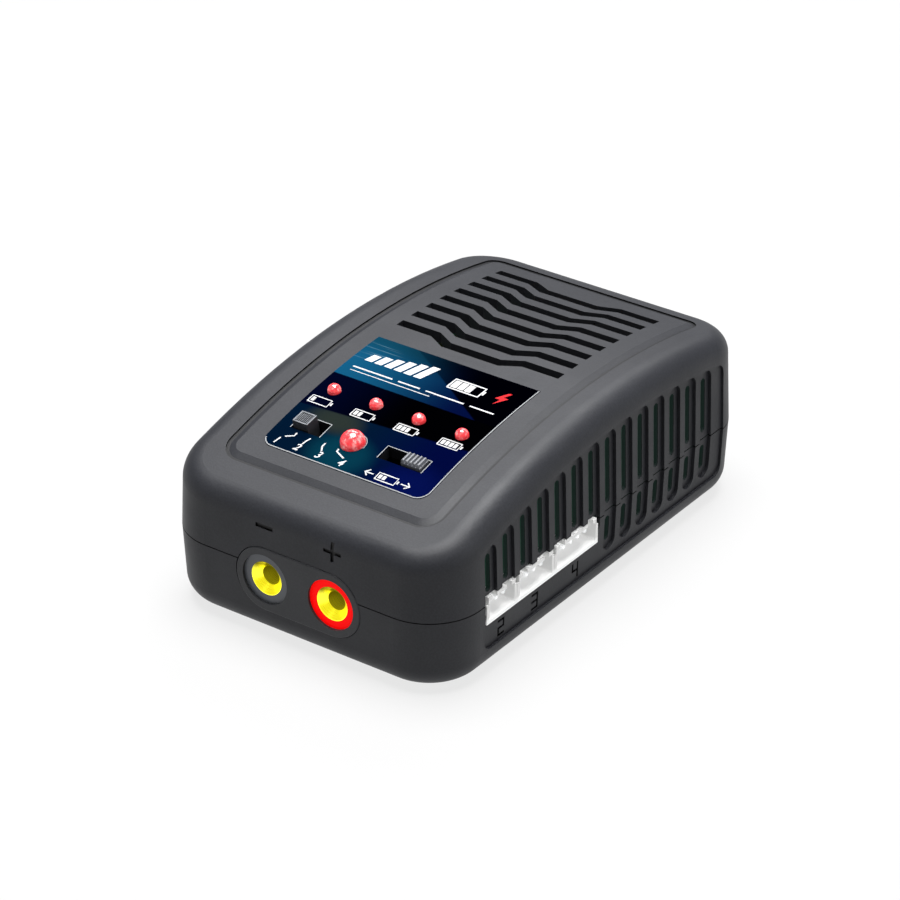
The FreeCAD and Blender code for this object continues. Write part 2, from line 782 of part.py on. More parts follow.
# Strokes of the digits 2, 3 and 4: (y, z) limits in a cell 2.2 wide and 3.6 high.
STROKE = 0.5
CELL_WIDTH = 2.2
CELL_HEIGHT = 3.6
MIDDLE = (CELL_HEIGHT - STROKE) / 2
BAR = {"top": ((0, CELL_WIDTH), (CELL_HEIGHT - STROKE, CELL_HEIGHT)),
       "middle": ((0, CELL_WIDTH), (MIDDLE, MIDDLE + STROKE)),
       "bottom": ((0, CELL_WIDTH), (0, STROKE)),
       "upper_left": ((0, STROKE), (MIDDLE, CELL_HEIGHT)),
       "upper_right": ((CELL_WIDTH - STROKE, CELL_WIDTH), (MIDDLE, CELL_HEIGHT)),
       "lower_left": ((0, STROKE), (0, MIDDLE + STROKE)),
       "lower_right": ((CELL_WIDTH - STROKE, CELL_WIDTH), (0, MIDDLE + STROKE))}
DIGITS = {2: ("top", "upper_right", "middle", "lower_left", "bottom"),
          3: ("top", "upper_right", "middle", "lower_right", "bottom"),
          4: ("upper_left", "middle", "upper_right", "lower_right")}
digit_base = parting - 9.7
digit_x = (D["port_face"] - 0.75, half_width + 1)


def digit_marks():
    strokes = []
    start = D["port_start"]
    for digit, length in zip(DIGITS, port_lengths):
        left = start + length / 2 - CELL_WIDTH / 2
        for name in DIGITS[digit]:
            (y0, y1), (z0, z1) = BAR[name]
            strokes.append(box(f"digit_{digit}_{name}", digit_x, (left + y0, left + y1),
                                      (digit_base + z0, digit_base + z1)))
        start = start + length
    return strokes


# Screw posts meet at the parting plane; the screws come up through the lower ones.
post_places = [(x, y) for x in (-D["post_x"], D["post_x"]) for y in (-D["post_y"], D["post_y"])]
post_floor = D["case_bottom"] + wall - 0.5
standoff_places = [(x, y) for x in (-23, 17) for y in (-30, 27)]
board_bottom = board_top - D["board_thickness"]


def posts(label, places, radius, bottom, top):
    return [cylinder(f"{label}_{number}", radius, top - bottom, x, y, bottom)
            for number, (x, y) in enumerate(places, start=1)]


post_roof = [arch_height(y, wall - 0.3) for _, y in post_places]
upper_posts = [cylinder(f"upper_post_{number}", D["post_radius"], top - parting, x, y, parting)
               for number, ((x, y), top) in enumerate(zip(post_places, post_roof), start=1)]
upper_pilots = posts("upper_pilot", post_places, D["screw_radius"], parting - 1, parting + 9)
lower_posts = posts("lower_post", post_places, D["post_radius"], post_floor, parting)
screw_holes = posts("screw_hole", post_places, D["screw_radius"] + 0.2, 0, parting + 1)
head_holes = posts("head_hole", post_places, D["screw_head_radius"] + 0.2, 0,
                   D["case_bottom"] + 2.4)
standoffs = posts("standoff", standoff_places, 2.6, post_floor, board_bottom)
standoff_pilots = posts("standoff_pilot", standoff_places, 1.1,
                        D["case_bottom"] + wall + 1, board_bottom + 1)
foot_places = [(x, y) for x in (-D["foot_x"], D["foot_x"]) for y in (-D["foot_y"], D["foot_y"])]
foot_seats = posts("foot_seat_hole", foot_places, D["foot_radius"] + 0.1, 0,
                   D["case_bottom"] + D["foot_seat"])
plate_seat = box("rating_plate_seat", (-17, 17),
                 (-22, 22), (0, D["case_bottom"] + 0.25))

# Posts that hold the control board hang square to the leaning panel.
board_w = -D["board_drop"]
hanger_places = [(x, v) for x in (-19, 19) for v in (-10, 10)]


def leaning_rod(label, x, v, radius, w):
    body = leaning(label, x, v, w[0])
    drawing = new_sketch(body, "XY_Plane")
    drawing.circle(radius)
    pad(body, drawing, w[1] - w[0])
    return body


hangers = [leaning_rod(f"hanger_{number}", x, v, 2.2, (board_w, -1.6))
           for number, (x, v) in enumerate(hanger_places, start=1)]
hanger_pilots = [leaning_rod(f"hanger_pilot_{number}", x, v, 0.9,
                             (board_w - 0.5, -2.6))
                 for number, (x, v) in enumerate(hanger_places, start=1)]

upper_cutters = side_cutters("upper", upper_start, True)
lower_cutters = side_cutters("lower", lower_start, False)

upper_skin = cut("upper_skin", cut("upper_hollowed", fuse(
    "upper_with_panel", [cut("upper_with_moat", upper_outer, moat), panel]), upper_hollow),
    fuse("upper_side_cuts", upper_cutters))
upper_solid = fuse("upper_with_posts", [upper_skin] + upper_posts + hangers + ribs)
upper_shell = cut("upper_shell", upper_solid,
                  fuse("upper_openings", [side_slots, port_window, inlet_window, holder_window,
                                          current_slot, type_slot, label_seat] + grille_bars
                       + lamp_holes + upper_pilots + hanger_pilots + front_marks))

lower_skin = cut("lower_skin", cut("lower_hollowed", lower_outer, lower_hollow),
                 fuse("lower_side_cuts", lower_cutters))
lower_solid = fuse("lower_with_posts", [lower_skin] + lower_posts + standoffs)
lower_shell = cut("lower_shell", lower_solid,
                  fuse("lower_openings", [side_slots, port_window, inlet_window, holder_window,
                                          plate_seat] + screw_holes + head_holes
                       + standoff_pilots + foot_seats + digit_marks()))

# ---------------------------------------------------------------- what stands in the walls

sub_parts = [upper_shell, lower_shell]


def add(item):
    """List a finished object as a piece of its own, to be written to its own file."""
    sub_parts.append(item)
    return item


# The label is a thin printed sheet that follows the arch, cut out for lamps and switches.
label_y = (D["label_front"], D["label_back"])
label_sheet, _ = arch_slab("label_sheet", D["label_half_width"], label_y, -D["label_proud"],
                           D["label_sunk"], None, None)
label_outline, _ = arch_slab("label_outline", D["label_half_width"], label_y, -3, 3,
                             D["label_corner"], None)
add(cut("panel_label", common("label_blank", label_sheet, label_outline),
        fuse("label_cuts", [current_slot, type_slot] + lamp_holes)))

# One moulding holds both sockets; its face is flush with the widest line of the case.
holder_back = D["holder_length"] - half_length
holder_face, holder_pad = holder_prism("holder_face", D["holder_radius"], holder_back, -half_length)
face_y = value_of(-half_length)
fillet(holder_face, holder_pad,
       edges_where(holder_face.Shape, lambda a, b, edge: max(a.y, b.y) < face_y + 0.01), 0.35)
holder_flange, _ = holder_prism("holder_flange", D["holder_radius"] + 0.9, holder_back,
                                wall + 0.65 - half_length)
ring_front = D["socket_recess"] - half_length


def front_rod(label, x, radius, y_back, y_front):
    return cylinder(label, radius, y_back - y_front, x, y_back, socket_height, (1, 0, 0), 90)


socket_x = {"minus": -D["socket_spacing"] / 2, "plus": D["socket_spacing"] / 2}
add(cut("socket_holder", fuse("holder_solid", [holder_face, holder_flange]),
        fuse("holder_holes", [front_rod(f"holder_hole_{pole}", x, D["socket_ring_radius"],
                                        holder_back + 1, -half_length - 1)
                              for pole, x in socket_x.items()])))

# Contact: a turned brass tube with a conical mouth, in an insulating ring. Both are drawn
# from the mouth (z = 0) inwards, and turned to point out of the front.
ring_length = 7.0
rim = 0.12


def front_body(label, x):
    """A body whose own +Z points out of the front, at the ring's face."""
    return new_body(label, x, ring_front, socket_height, (1, 0, 0), 90)


for pole, x in socket_x.items():
    ring = front_body(f"socket_ring_{pole}", x)
    revolve(ring, [(D["flare_radius"] + rim, 0), (D["socket_ring_radius"], 0),
                   (D["socket_ring_radius"], -ring_length), (D["contact_radius"], -ring_length),
                   (D["contact_radius"], -D["flare_depth"])])
    add(ring)
    contact = front_body(f"socket_contact_{pole}", x)
    revolve(contact, [(D["bore_radius"], -D["flare_depth"]), (D["flare_radius"], 0),
                      (D["flare_radius"] + rim, 0), (D["contact_radius"], -D["flare_depth"]),
                      (D["contact_radius"], -D["bore_length"] - 2), (0, -D["bore_length"] - 2),
                      (0, -D["bore_length"]), (D["bore_radius"], -D["bore_length"])])
    add(contact)

# Balance ports: side-entry shrouds with a keyed, notched upper wall and a row of square pins.
port_bottom = parting - D["port_below"]
port_top = port_bottom + D["port_height"]
port_x = (D["port_face"] - D["port_depth"], D["port_face"])
port_wall = D["port_wall"]
port_start = D["port_start"]
board_pin_holes = []
pin_middle = port_bottom + D["port_height"] * 0.56
for count, length in zip((3, 4, 5), port_lengths):
    name = f"balance_port_{count}"
    y = (port_start + 0.06, port_start + length - 0.06)
    cavity = box(f"{name}_cavity", (port_x[0] + 3.4, port_x[1] + 1),
                 (y[0] + port_wall, y[1] - port_wall),
                 (port_bottom + port_wall, port_top - port_wall))
    notches = [box(f"{name}_notch_{side}", (port_x[1] - 6.2, port_x[1] + 1),
                   (middle - 0.75, middle + 0.75), (port_top - 2, port_top + 1))
               for side, middle in (("front", y[0] + 2.6), ("back", y[1] - 2.6))]
    end_notches = [box(f"{name}_end_notch_{side}", (port_x[1] - 6.2, port_x[1] + 1), limits,
                       (port_top - 1.5, port_top + 1))
                   for side, limits in (("front", (y[0] - 1, y[0] + port_wall - 0.25)),
                                        ("back", (y[1] - port_wall + 0.25, y[1] + 1)))]
    pin_holes = []
    pins = []
    for number in range(count):
        middle = port_start + length / 2 + D["port_pitch"] * (number - (count - 1) / 2)
        half_pin = D["pin_size"] / 2
        pin_y = (middle - half_pin, middle + half_pin)
        pin_z = (pin_middle - half_pin, pin_middle + half_pin)
        pin_holes.append(box(f"{name}_pin_hole_{number}", (port_x[0] - 1, port_x[0] + 4),
                             pin_y, pin_z))
        tail_x = (port_x[0] - 1.6, port_x[0] - 1.6 + D["pin_size"])
        board_pin_holes.append(box(f"{name}_board_hole_{number}",
                                   (tail_x[0] - 0.1, tail_x[1] + 0.1),
                                   (pin_y[0] - 0.1, pin_y[1] + 0.1),
                                   (board_bottom - 1, board_top + 1)))
        pins.append(fuse(f"{name}_pin_{number}", [
            box(f"{name}_pin_{number}_out", (port_x[0] - 1.6, port_x[1] - 1.3), pin_y, pin_z),
            box(f"{name}_pin_{number}_down", tail_x, pin_y, (board_bottom - 1.2, pin_z[1]))]))
    add(cut(name, box(f"{name}_block", port_x, y, (port_bottom, port_top)),
            fuse(f"{name}_holes", [cavity] + notches + end_notches + pin_holes)))
    add(compound(f"{name}_pins", pins))
    port_start = port_start + length

# Mains inlet: a block with a figure of eight recess that faces the back, and two round pins.
inlet_front = half_length - D["inlet_depth"]
inlet_block = box("inlet_block", (-D["inlet_half_width"], D["inlet_half_width"]),
                  (inlet_front, half_length), (inlet_base, inlet_top))
recess_back = half_length - D["inlet_recess_depth"]
inlet_recess = [box("inlet_waist", (-D["inlet_pin_spacing"] / 2, D["inlet_pin_spacing"] / 2),
                    (recess_back, half_length + 1),
                    (inlet_middle - 2.9, inlet_middle + 2.9))]
inlet_pins = []
inlet_pin_holes = []
for side, sign in (("left", -1), ("right", 1)):
    x = D["inlet_pin_spacing"] * (sign / 2)
    start = inlet_front - 1.5
    inlet_recess.append(cylinder(f"inlet_lobe_{side}", D["inlet_recess_radius"],
                                 D["inlet_recess_depth"] + 1, x, recess_back, inlet_middle,
                                 (1, 0, 0), -90))
    board_pin_holes.append(box(f"inlet_board_hole_{side}", (x - 0.8, x + 0.8),
                               (start - 0.2, start + 1.2), (board_bottom - 1, board_top + 1)))
    inlet_pins.append(fuse(f"inlet_pin_{side}", [
        cylinder(f"inlet_pin_{side}_rod", D["inlet_pin_radius"], D["inlet_depth"] - 1.5,
                 x, start, inlet_middle, (1, 0, 0), -90),
        box(f"inlet_pin_{side}_tail", (x - 0.6, x + 0.6), (start, start + 1),
            (board_bottom - 1, inlet_middle))]))
    inlet_pin_holes.append(cylinder(f"inlet_pin_{side}_hole", D["inlet_pin_radius"],
                                    D["inlet_depth"], x, start, inlet_middle, (1, 0, 0), -90))
add(cut("mains_inlet", inlet_block, fuse("inlet_holes", inlet_recess + inlet_pin_holes)))
add(compound("mains_inlet_pins", inlet_pins))

# ---------------------------------------------------------------- control panel


# Slide switches: a knob whose stem runs in a channel of the switch's housing.
switch_floor = board_w + 0.9
knob_bottom = board_w + 1.2


def slide_switch(name, slot_x, slot_half, knob_x, knob_width, rise):
    """A switch housing on the control board, and a plain knob that runs in its channel."""
    housing, _ = leaning_block(f"{name}_housing", (slot_x[0] - 0.8, slot_x[1] + 0.8),
                               (row - slot_half - 0.7, row + slot_half + 0.7),
                               (board_w, board_w + 3.2))
    channel, _ = leaning_block(f"{name}_channel", (slot_x[0] - 0.4, slot_x[1] + 0.4),
                               (row - slot_half, row + slot_half), (switch_floor, 0))
    add(cut(f"{name}_body", housing, channel))
    knob, _ = leaning_block(f"{name}_knob", knob_x,
                            (row - knob_width / 2, row + knob_width / 2), (knob_bottom, rise))
    return add(knob)


current_knob_x = (D["current_slot_left"] + D["knob_clearance"],
                  D["current_slot_left"] + D["knob_clearance"] + D["current_knob_length"])
current_knob = slide_switch("current_switch", (D["current_slot_left"], D["current_slot_right"]),
                            D["current_slot_half"], current_knob_x, D["current_knob_width"],
                            D["current_knob_rise"])
type_knob_x = (D["type_slot_right"] - D["knob_clearance"] - D["type_knob_length"],
               D["type_slot_right"] - D["knob_clearance"])
type_knob = slide_switch("type_switch", (D["type_slot_left"], D["type_slot_right"]),
                         D["type_slot_half"], type_knob_x, D["type_knob_width"],
                         D["type_knob_rise"])

# Fine grooves inside a border on the current knob, coarse ridges across the type knob.
FINE_GROOVES = 7
fine = new_sketch(current_knob, "XY_Plane", D["current_knob_rise"])
fine_pitch = (D["current_knob_length"] - 0.8) / FINE_GROOVES
fine_half = D["current_knob_width"] / 2 - 0.4
for number in range(FINE_GROOVES):
    middle = current_knob_x[0] + 0.4 + fine_pitch * (number + 0.5)
    fine.rectangle((middle - 0.1, middle + 0.1), (row - fine_half, row + fine_half))
pocket(current_knob, fine, 0.15)
COARSE_GROOVES = 4
coarse = new_sketch(type_knob, "XZ_Plane")
coarse_pitch = D["type_knob_length"] / (COARSE_GROOVES + 0.6)
for number in range(COARSE_GROOVES):
    middle = type_knob_x[0] + coarse_pitch * (number + 0.8)
    half, top = 0.38, D["type_knob_rise"]
    coarse.outline([(middle, top - 0.55), (middle + half, top), (middle + half, top + 0.5),
                    (middle - half, top + 0.5), (middle - half, top)])
pocket(type_knob, coarse, 40, middle=True)


# Lamps: a flange, a barrel and a dome, moulded in one.
def lamp(name, x, v, radius, dome):
    body = leaning(name, x, v)
    flange = radius + 0.35
    revolve(body, [(0, board_w + 0.2), (flange, board_w + 0.2), (flange, board_w + 1.1),
                   (radius, board_w + 1.1), (radius, dome), (0, dome + radius)],
            {4: (0, dome, radius)})
    return add(body)


for number, (x, v, radius) in enumerate(lamp_places[:SMALL_LAMPS], start=1):
    lamp(f"status_lamp_{number}", x, v, radius, 0.2)
lamp("charge_lamp", *lamp_places[SMALL_LAMPS], 0.1)

# Control board, its screws, the controller chip and the header down to the main board.
board_under = board_w - D["control_board_thickness"]
control_blank, _ = leaning_block("control_blank", (-21.5, 21.5), (-12.3, 12.3),
                                 (board_under, board_w))
hanger_holes = [leaning_rod(f"hanger_hole_{number}", x, v, 1.2, (board_under - 1, board_w + 1))
                for number, (x, v) in enumerate(hanger_places, start=1)]
add(cut("control_board", control_blank, fuse("control_board_cuts", hanger_holes)))


def leaning_screw(number, x, v):
    """A small screw from below, with its head against the control board."""
    body = leaning(f"control_screw_{number}", x, v, board_under)
    revolve(body, [(0, -1.1), (1.9, -1.1), (1.9, 0), (0.9, 0), (0.9, 4.0), (0, 4.0)])
    return body


add(compound("control_board_screws",
             [leaning_screw(number, x, v) for number, (x, v) in enumerate(hanger_places, start=1)]))
chip, _ = leaning_block("controller_chip", (-4, 4), (-3.5, 3.5), (board_under - 1.2, board_under))
add(chip)

# ---------------------------------------------------------------- main board

board_blank = box("board_blank", (-D["board_half_width"], D["board_half_width"]),
                  (D["board_front"], D["board_back"]), (board_bottom, board_top))
notch_x, notch_y = D["post_x"] - D["post_radius"] - 0.4, D["post_y"] - D["post_radius"] - 0.4
corner_notches = [box(f"corner_notch_{number}", limits_x, limits_y,
                      (board_bottom - 1, board_top + 1))
                  for number, (limits_x, limits_y) in enumerate(
                      [(limits_x, limits_y)
                       for limits_x in ((-half_width, -notch_x), (notch_x, half_width))
                       for limits_y in ((-half_length, -notch_y), (notch_y, half_length))],
                      start=1)]
board_screw_holes = posts("board_screw_hole", standoff_places, 1.3, board_bottom - 1, board_top + 1)
add(cut("main_board", board_blank,
        fuse("board_cuts", corner_notches + board_screw_holes + board_pin_holes)))


def screw(label, x, y, z, head_radius, head_height, shank_radius, length, upwards):
    """A pan-head screw whose head meets the surface at z."""
    body = new_body(label, x, y, z)
    way = 1 if upwards else -1
    revolve(body, [(0, -head_height * way), (head_radius, -head_height * way), (head_radius, 0),
                   (shank_radius, 0), (shank_radius, length * way), (0, length * way)])
    return body


add(compound("board_screws",
             [screw(f"board_screw_{number}", x, y, board_top, 2.2, 1.3, 1.1, 5.5, False)
              for number, (x, y) in enumerate(standoff_places, start=1)]))


def case_screw(number, x, y):
    """A case screw, let into the lower shell, with a cross recess in its head."""
    body = screw(f"case_screw_{number}", x, y, D["case_bottom"] + 2.4, D["screw_head_radius"], 1.8,
                 D["screw_radius"], 21.5, True)
    drawing = new_sketch(body, "XY_Plane", -1.8)
    arm, half_arm = 1.6, 0.3
    drawing.outline([(-arm, -half_arm), (-half_arm, -half_arm), (-half_arm, -arm),
                     (half_arm, -arm), (half_arm, -half_arm), (arm, -half_arm),
                     (arm, half_arm), (half_arm, half_arm), (half_arm, arm),
                     (-half_arm, arm), (-half_arm, half_arm), (-arm, half_arm)])
    pocket(body, drawing, 1.0, reverse=True)
    return body


add(compound("case_screws", [case_screw(number, x, y)
                             for number, (x, y) in enumerate(post_places, start=1)]))


def rubber_foot(number, x, y):
    """A low rubber disc let into the underside."""
    foot = new_body(f"rubber_foot_{number}", x, y)
    top = D["case_bottom"] + D["foot_seat"]
    revolve(foot, [(0, 0), (D["foot_radius"] - 0.4, 0), (D["foot_radius"], 0.4),
                   (D["foot_radius"], top), (0, top)])
    return foot


add(compound("rubber_feet", [rubber_foot(number, x, y)
                             for number, (x, y) in enumerate(foot_places, start=1)]))
add(box("rating_plate", (-16.9, 16.9), (-21.9, 21.9),
        (D["case_bottom"] + 0.05, D["case_bottom"] + 0.25)))

# Mains side of the main board, at the back.
add(cylinder("fuse_tube", 2.6, 19, 9, 34, board_top + 3.0, (0, 1, 0), 90))
add(box("suppression_capacitor", (-28, -13.5), (30, 35.5), (board_top, board_top + 11)))
choke = document.addObject("Part::Torus", "input_choke")
bind(choke, Radius1=5.6, Radius2=2.3)
place(choke, -3, 29.5, board_top + 8.0, (1, 0, 0), 90)
add(choke)
add(box("bridge_rectifier", (25, 28.5), (9, 24), (board_top, board_top + 11)))
add(cylinder("bulk_capacitor", 7.5, 20, -26, 16.5, board_top + 7.6, (0, 1, 0), 90))

# Transformer: a ferrite frame round a wound bobbin.
core_x, core_y = (-2.0, 20.0), (6.0, 22.5)
core_z = (board_top + 1.0, board_top + 18.0)
winding_x = (core_x[0] + 4, core_x[1] - 4)
core_window = box("core_window", winding_x, (core_y[0] - 1, core_y[1] + 1),
                  (core_z[0] + 3, core_z[1] - 3))
add(cut("transformer_core", box("core_block", core_x, core_y, core_z), core_window))
winding = box("winding_block", (winding_x[0] + 0.1, winding_x[1] - 0.1),
              (core_y[0] - 1.5, core_y[1] + 1.5), (core_z[0] + 3.1, core_z[1] - 3.1))
bobbin_foot = box("bobbin_foot", (winding_x[0] + 0.5, winding_x[1] - 0.5),
                  (core_y[1] + 0.1, core_y[1] + 1.5), (board_top, core_z[0] + 4))
add(fuse("transformer_winding", [winding, bobbin_foot]))

# Switching transistor and output rectifier, each on an aluminium sink.
add(box("primary_heatsink", (-28.5, -26.7), (-13, 4), (board_top, board_top + 13)))
add(box("switching_transistor", (-26.7, -22.3), (-10, 0), (board_top, board_top + 12)))
add(box("secondary_heatsink", (-3, 15), (-2, -0.2), (board_top, board_top + 12)))
add(box("output_rectifier", (1, 11), (-0.2, 4.0), (board_top, board_top + 11)))

# Output side, towards the sockets.
add(compound("output_capacitors",
             [cylinder(f"output_capacitor_{number}", 4.0, 11, x, -7.5, board_top)
              for number, x in enumerate((-18.0, -8.5, 1.0), start=1)]))
add(box("output_inductor", (-28, -18), (-24, -14), (board_top, board_top + 7)))
add(compound("balance_resistors",
             [box(f"balance_resistor_{number}", (8, 13.8), (y, y + 3.2),
                  (board_top, board_top + 0.8))
              for number, y in enumerate((-35.5, -31, -26.5, -22, -17.5, -13), start=1)]))
add(box("link_header", (-13, 5), (-31.5, -29), (board_top, board_top + 17)))

# ---------------------------------------------------------------- check and write

document.recompute()
for item in document.Objects:
    if "Invalid" in item.State or "Error" in item.State:
        raise RuntimeError(f"{item.Label} failed: {item.State}")
os.makedirs("parts", exist_ok=True)
for item in sub_parts:
    shape = item.Shape
    if shape.isNull() or not shape.isValid():
        raise RuntimeError(f"{item.Label} has no valid shape")
    print(f"{item.Label}: {len(shape.Solids)} solid(s), {shape.Volume:.1f} mm3")
    shape.exportStep(f"parts/{item.Label}.step")
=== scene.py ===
import math

import bmesh
import bpy
from mathutils import Matrix, Vector
from mathutils.bvhtree import BVHTree


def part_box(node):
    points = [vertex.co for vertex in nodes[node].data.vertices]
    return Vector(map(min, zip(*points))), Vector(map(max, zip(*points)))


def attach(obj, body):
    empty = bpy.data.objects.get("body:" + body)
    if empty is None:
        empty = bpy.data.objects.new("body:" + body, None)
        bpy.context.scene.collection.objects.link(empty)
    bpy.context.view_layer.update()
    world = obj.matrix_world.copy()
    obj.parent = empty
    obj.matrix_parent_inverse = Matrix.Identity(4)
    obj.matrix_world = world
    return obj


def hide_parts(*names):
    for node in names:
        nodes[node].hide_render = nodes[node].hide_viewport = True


# The looks of a small mains balance battery charger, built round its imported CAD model.
# +X is the side with the balance ports, -Y the end with the output sockets, +Z is up. Blender
# works in metres. The sizes below are in millimetres, and MM turns them into metres.

MM = 0.001
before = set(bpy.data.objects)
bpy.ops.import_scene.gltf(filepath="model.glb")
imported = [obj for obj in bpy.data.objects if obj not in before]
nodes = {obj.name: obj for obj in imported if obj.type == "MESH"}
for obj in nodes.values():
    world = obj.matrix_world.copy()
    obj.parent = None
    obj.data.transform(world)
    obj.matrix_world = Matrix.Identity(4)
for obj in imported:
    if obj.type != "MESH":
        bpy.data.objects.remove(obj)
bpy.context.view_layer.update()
scene = bpy.context.scene
scene.view_settings.view_transform = "Standard"

# The switches and the large lamp stand square to a plane that leans with the front of the arch.
# From PANEL_ORIGIN, v runs up that plane and w square to it.
PANEL_TILT = math.radians(11.06)
PANEL_ORIGIN = Vector((0, -26.47, 36.54)) * MM
PANEL = Matrix.Translation(PANEL_ORIGIN) @ Matrix.Rotation(PANEL_TILT, 4, "X")
# The v of the row of switches, and the w that their knobs reach down to and up to.
CONTROL_ROW = -5.53
KNOB_FOOT = -4.75
CURRENT_KNOB_TOP = 1.55
TYPE_KNOB_TOP = 1.1
# Inward lean of the case walls, away from the plane where the two shells meet.
WALL_LEAN = math.radians(1.9)
PARTING = 16.1
# Outer outline of the moat, the sunken border round the raised panel on top.
MOAT_HALF_WIDTH = 25.55
MOAT_YS = (-45.25, 47.05)
MOAT_FRONT_RADIUS = 4.6
MOAT_BACK_RADIUS = 3.0
# The output sockets: height of their axes, and the y where the flare of the mouth ends.
SOCKET_HEIGHT = 13.54
FLARE_END = -51.47
# Prints are this thick, and divided this finely so that they bend with the label.
PRINT_THICKNESS = 0.03 * MM
BEND_STEP = 1.5
# How far the light on the upward faces outshines plain white.
TOP_LIGHT_LEVEL = 3.7


def srgb(red, green, blue):
    """A colour given as screen values from 0 to 255, as the linear values that shaders use."""
    def linear(value):
        value /= 255
        return value / 12.92 if value <= 0.04045 else ((value + 0.055) / 1.055) ** 2.4
    return linear(red), linear(green), linear(blue), 1.0


def printed(red, green, blue):
    """The albedo of a print that the strong top light shows at these screen values."""
    return tuple(channel / TOP_LIGHT_LEVEL for channel in srgb(red, green, blue)[:3]) + (1,)


# ---------------------------------------------------------------- camera, floor and lights

def make_camera():
    """The camera, far off with a long lens, looking down on the front right corner."""
    camera = bpy.data.objects.new("camera", bpy.data.cameras.new("camera"))
    scene.collection.objects.link(camera)
    camera.location = Vector((353.83, -495.96, 365.07)) * MM
    camera.rotation_euler = (math.radians(60.455), 0, math.radians(35.739))
    camera.data.lens = 141.48
    camera.data.sensor_width = 36
    camera.data.clip_start = 0.01
    scene.camera = camera


def soft_light(name, place, size, power):
    """A large area light at place, turned towards the middle of the charger."""
    data = bpy.data.lights.new(name, "AREA")
    data.shape = "RECTANGLE"
    data.size, data.size_y = size
    data.energy = power
    lamp = bpy.data.objects.new(name, data)
    scene.collection.objects.link(lamp)
    lamp.location = place
    target = Vector((0, 0, 0.02))
    lamp.rotation_euler = (Vector(place) - target).to_track_quat("Z", "Y").to_euler()


def make_stage():
    """A pale floor, just below the feet so that the two don't share a plane, and the lights."""
    bpy.ops.mesh.primitive_plane_add(size=12)
    floor = bpy.context.object
    floor.name = "floor"
    floor.location.z = -0.02 * MM
    shade = Shade("floor_paper")
    shade.set(base_color=(0.08, 0.08, 0.08, 1), roughness=0.9, specular=0.0,
              emission_color=(1, 1, 1, 1), emission_strength=0.78)
    shade.bump(shade.noise(400, 2), strength=0.05, distance=0.2)
    floor.data.materials.append(shade.material)

    world = bpy.data.worlds.new("studio")
    scene.world = world
    world.use_nodes = True
    background = world.node_tree.nodes["Background"]
    background.inputs["Color"].default_value = (1, 1, 1, 1)
    background.inputs["Strength"].default_value = 0.06
    soft_light("top_light", place=(-0.05, 0.05, 1.0), size=(0.7, 0.7), power=30.0)
    soft_light("back_light", place=(-0.3, 0.75, 0.8), size=(0.7, 0.4), power=6.0)
    soft_light("right_light", place=(0.95, 0.25, 0.3), size=(0.4, 0.4), power=1.6)
    soft_light("front_light", place=(-0.25, -0.9, 0.6), size=(0.3, 0.3), power=0.3)


# ---------------------------------------------------------------- materials

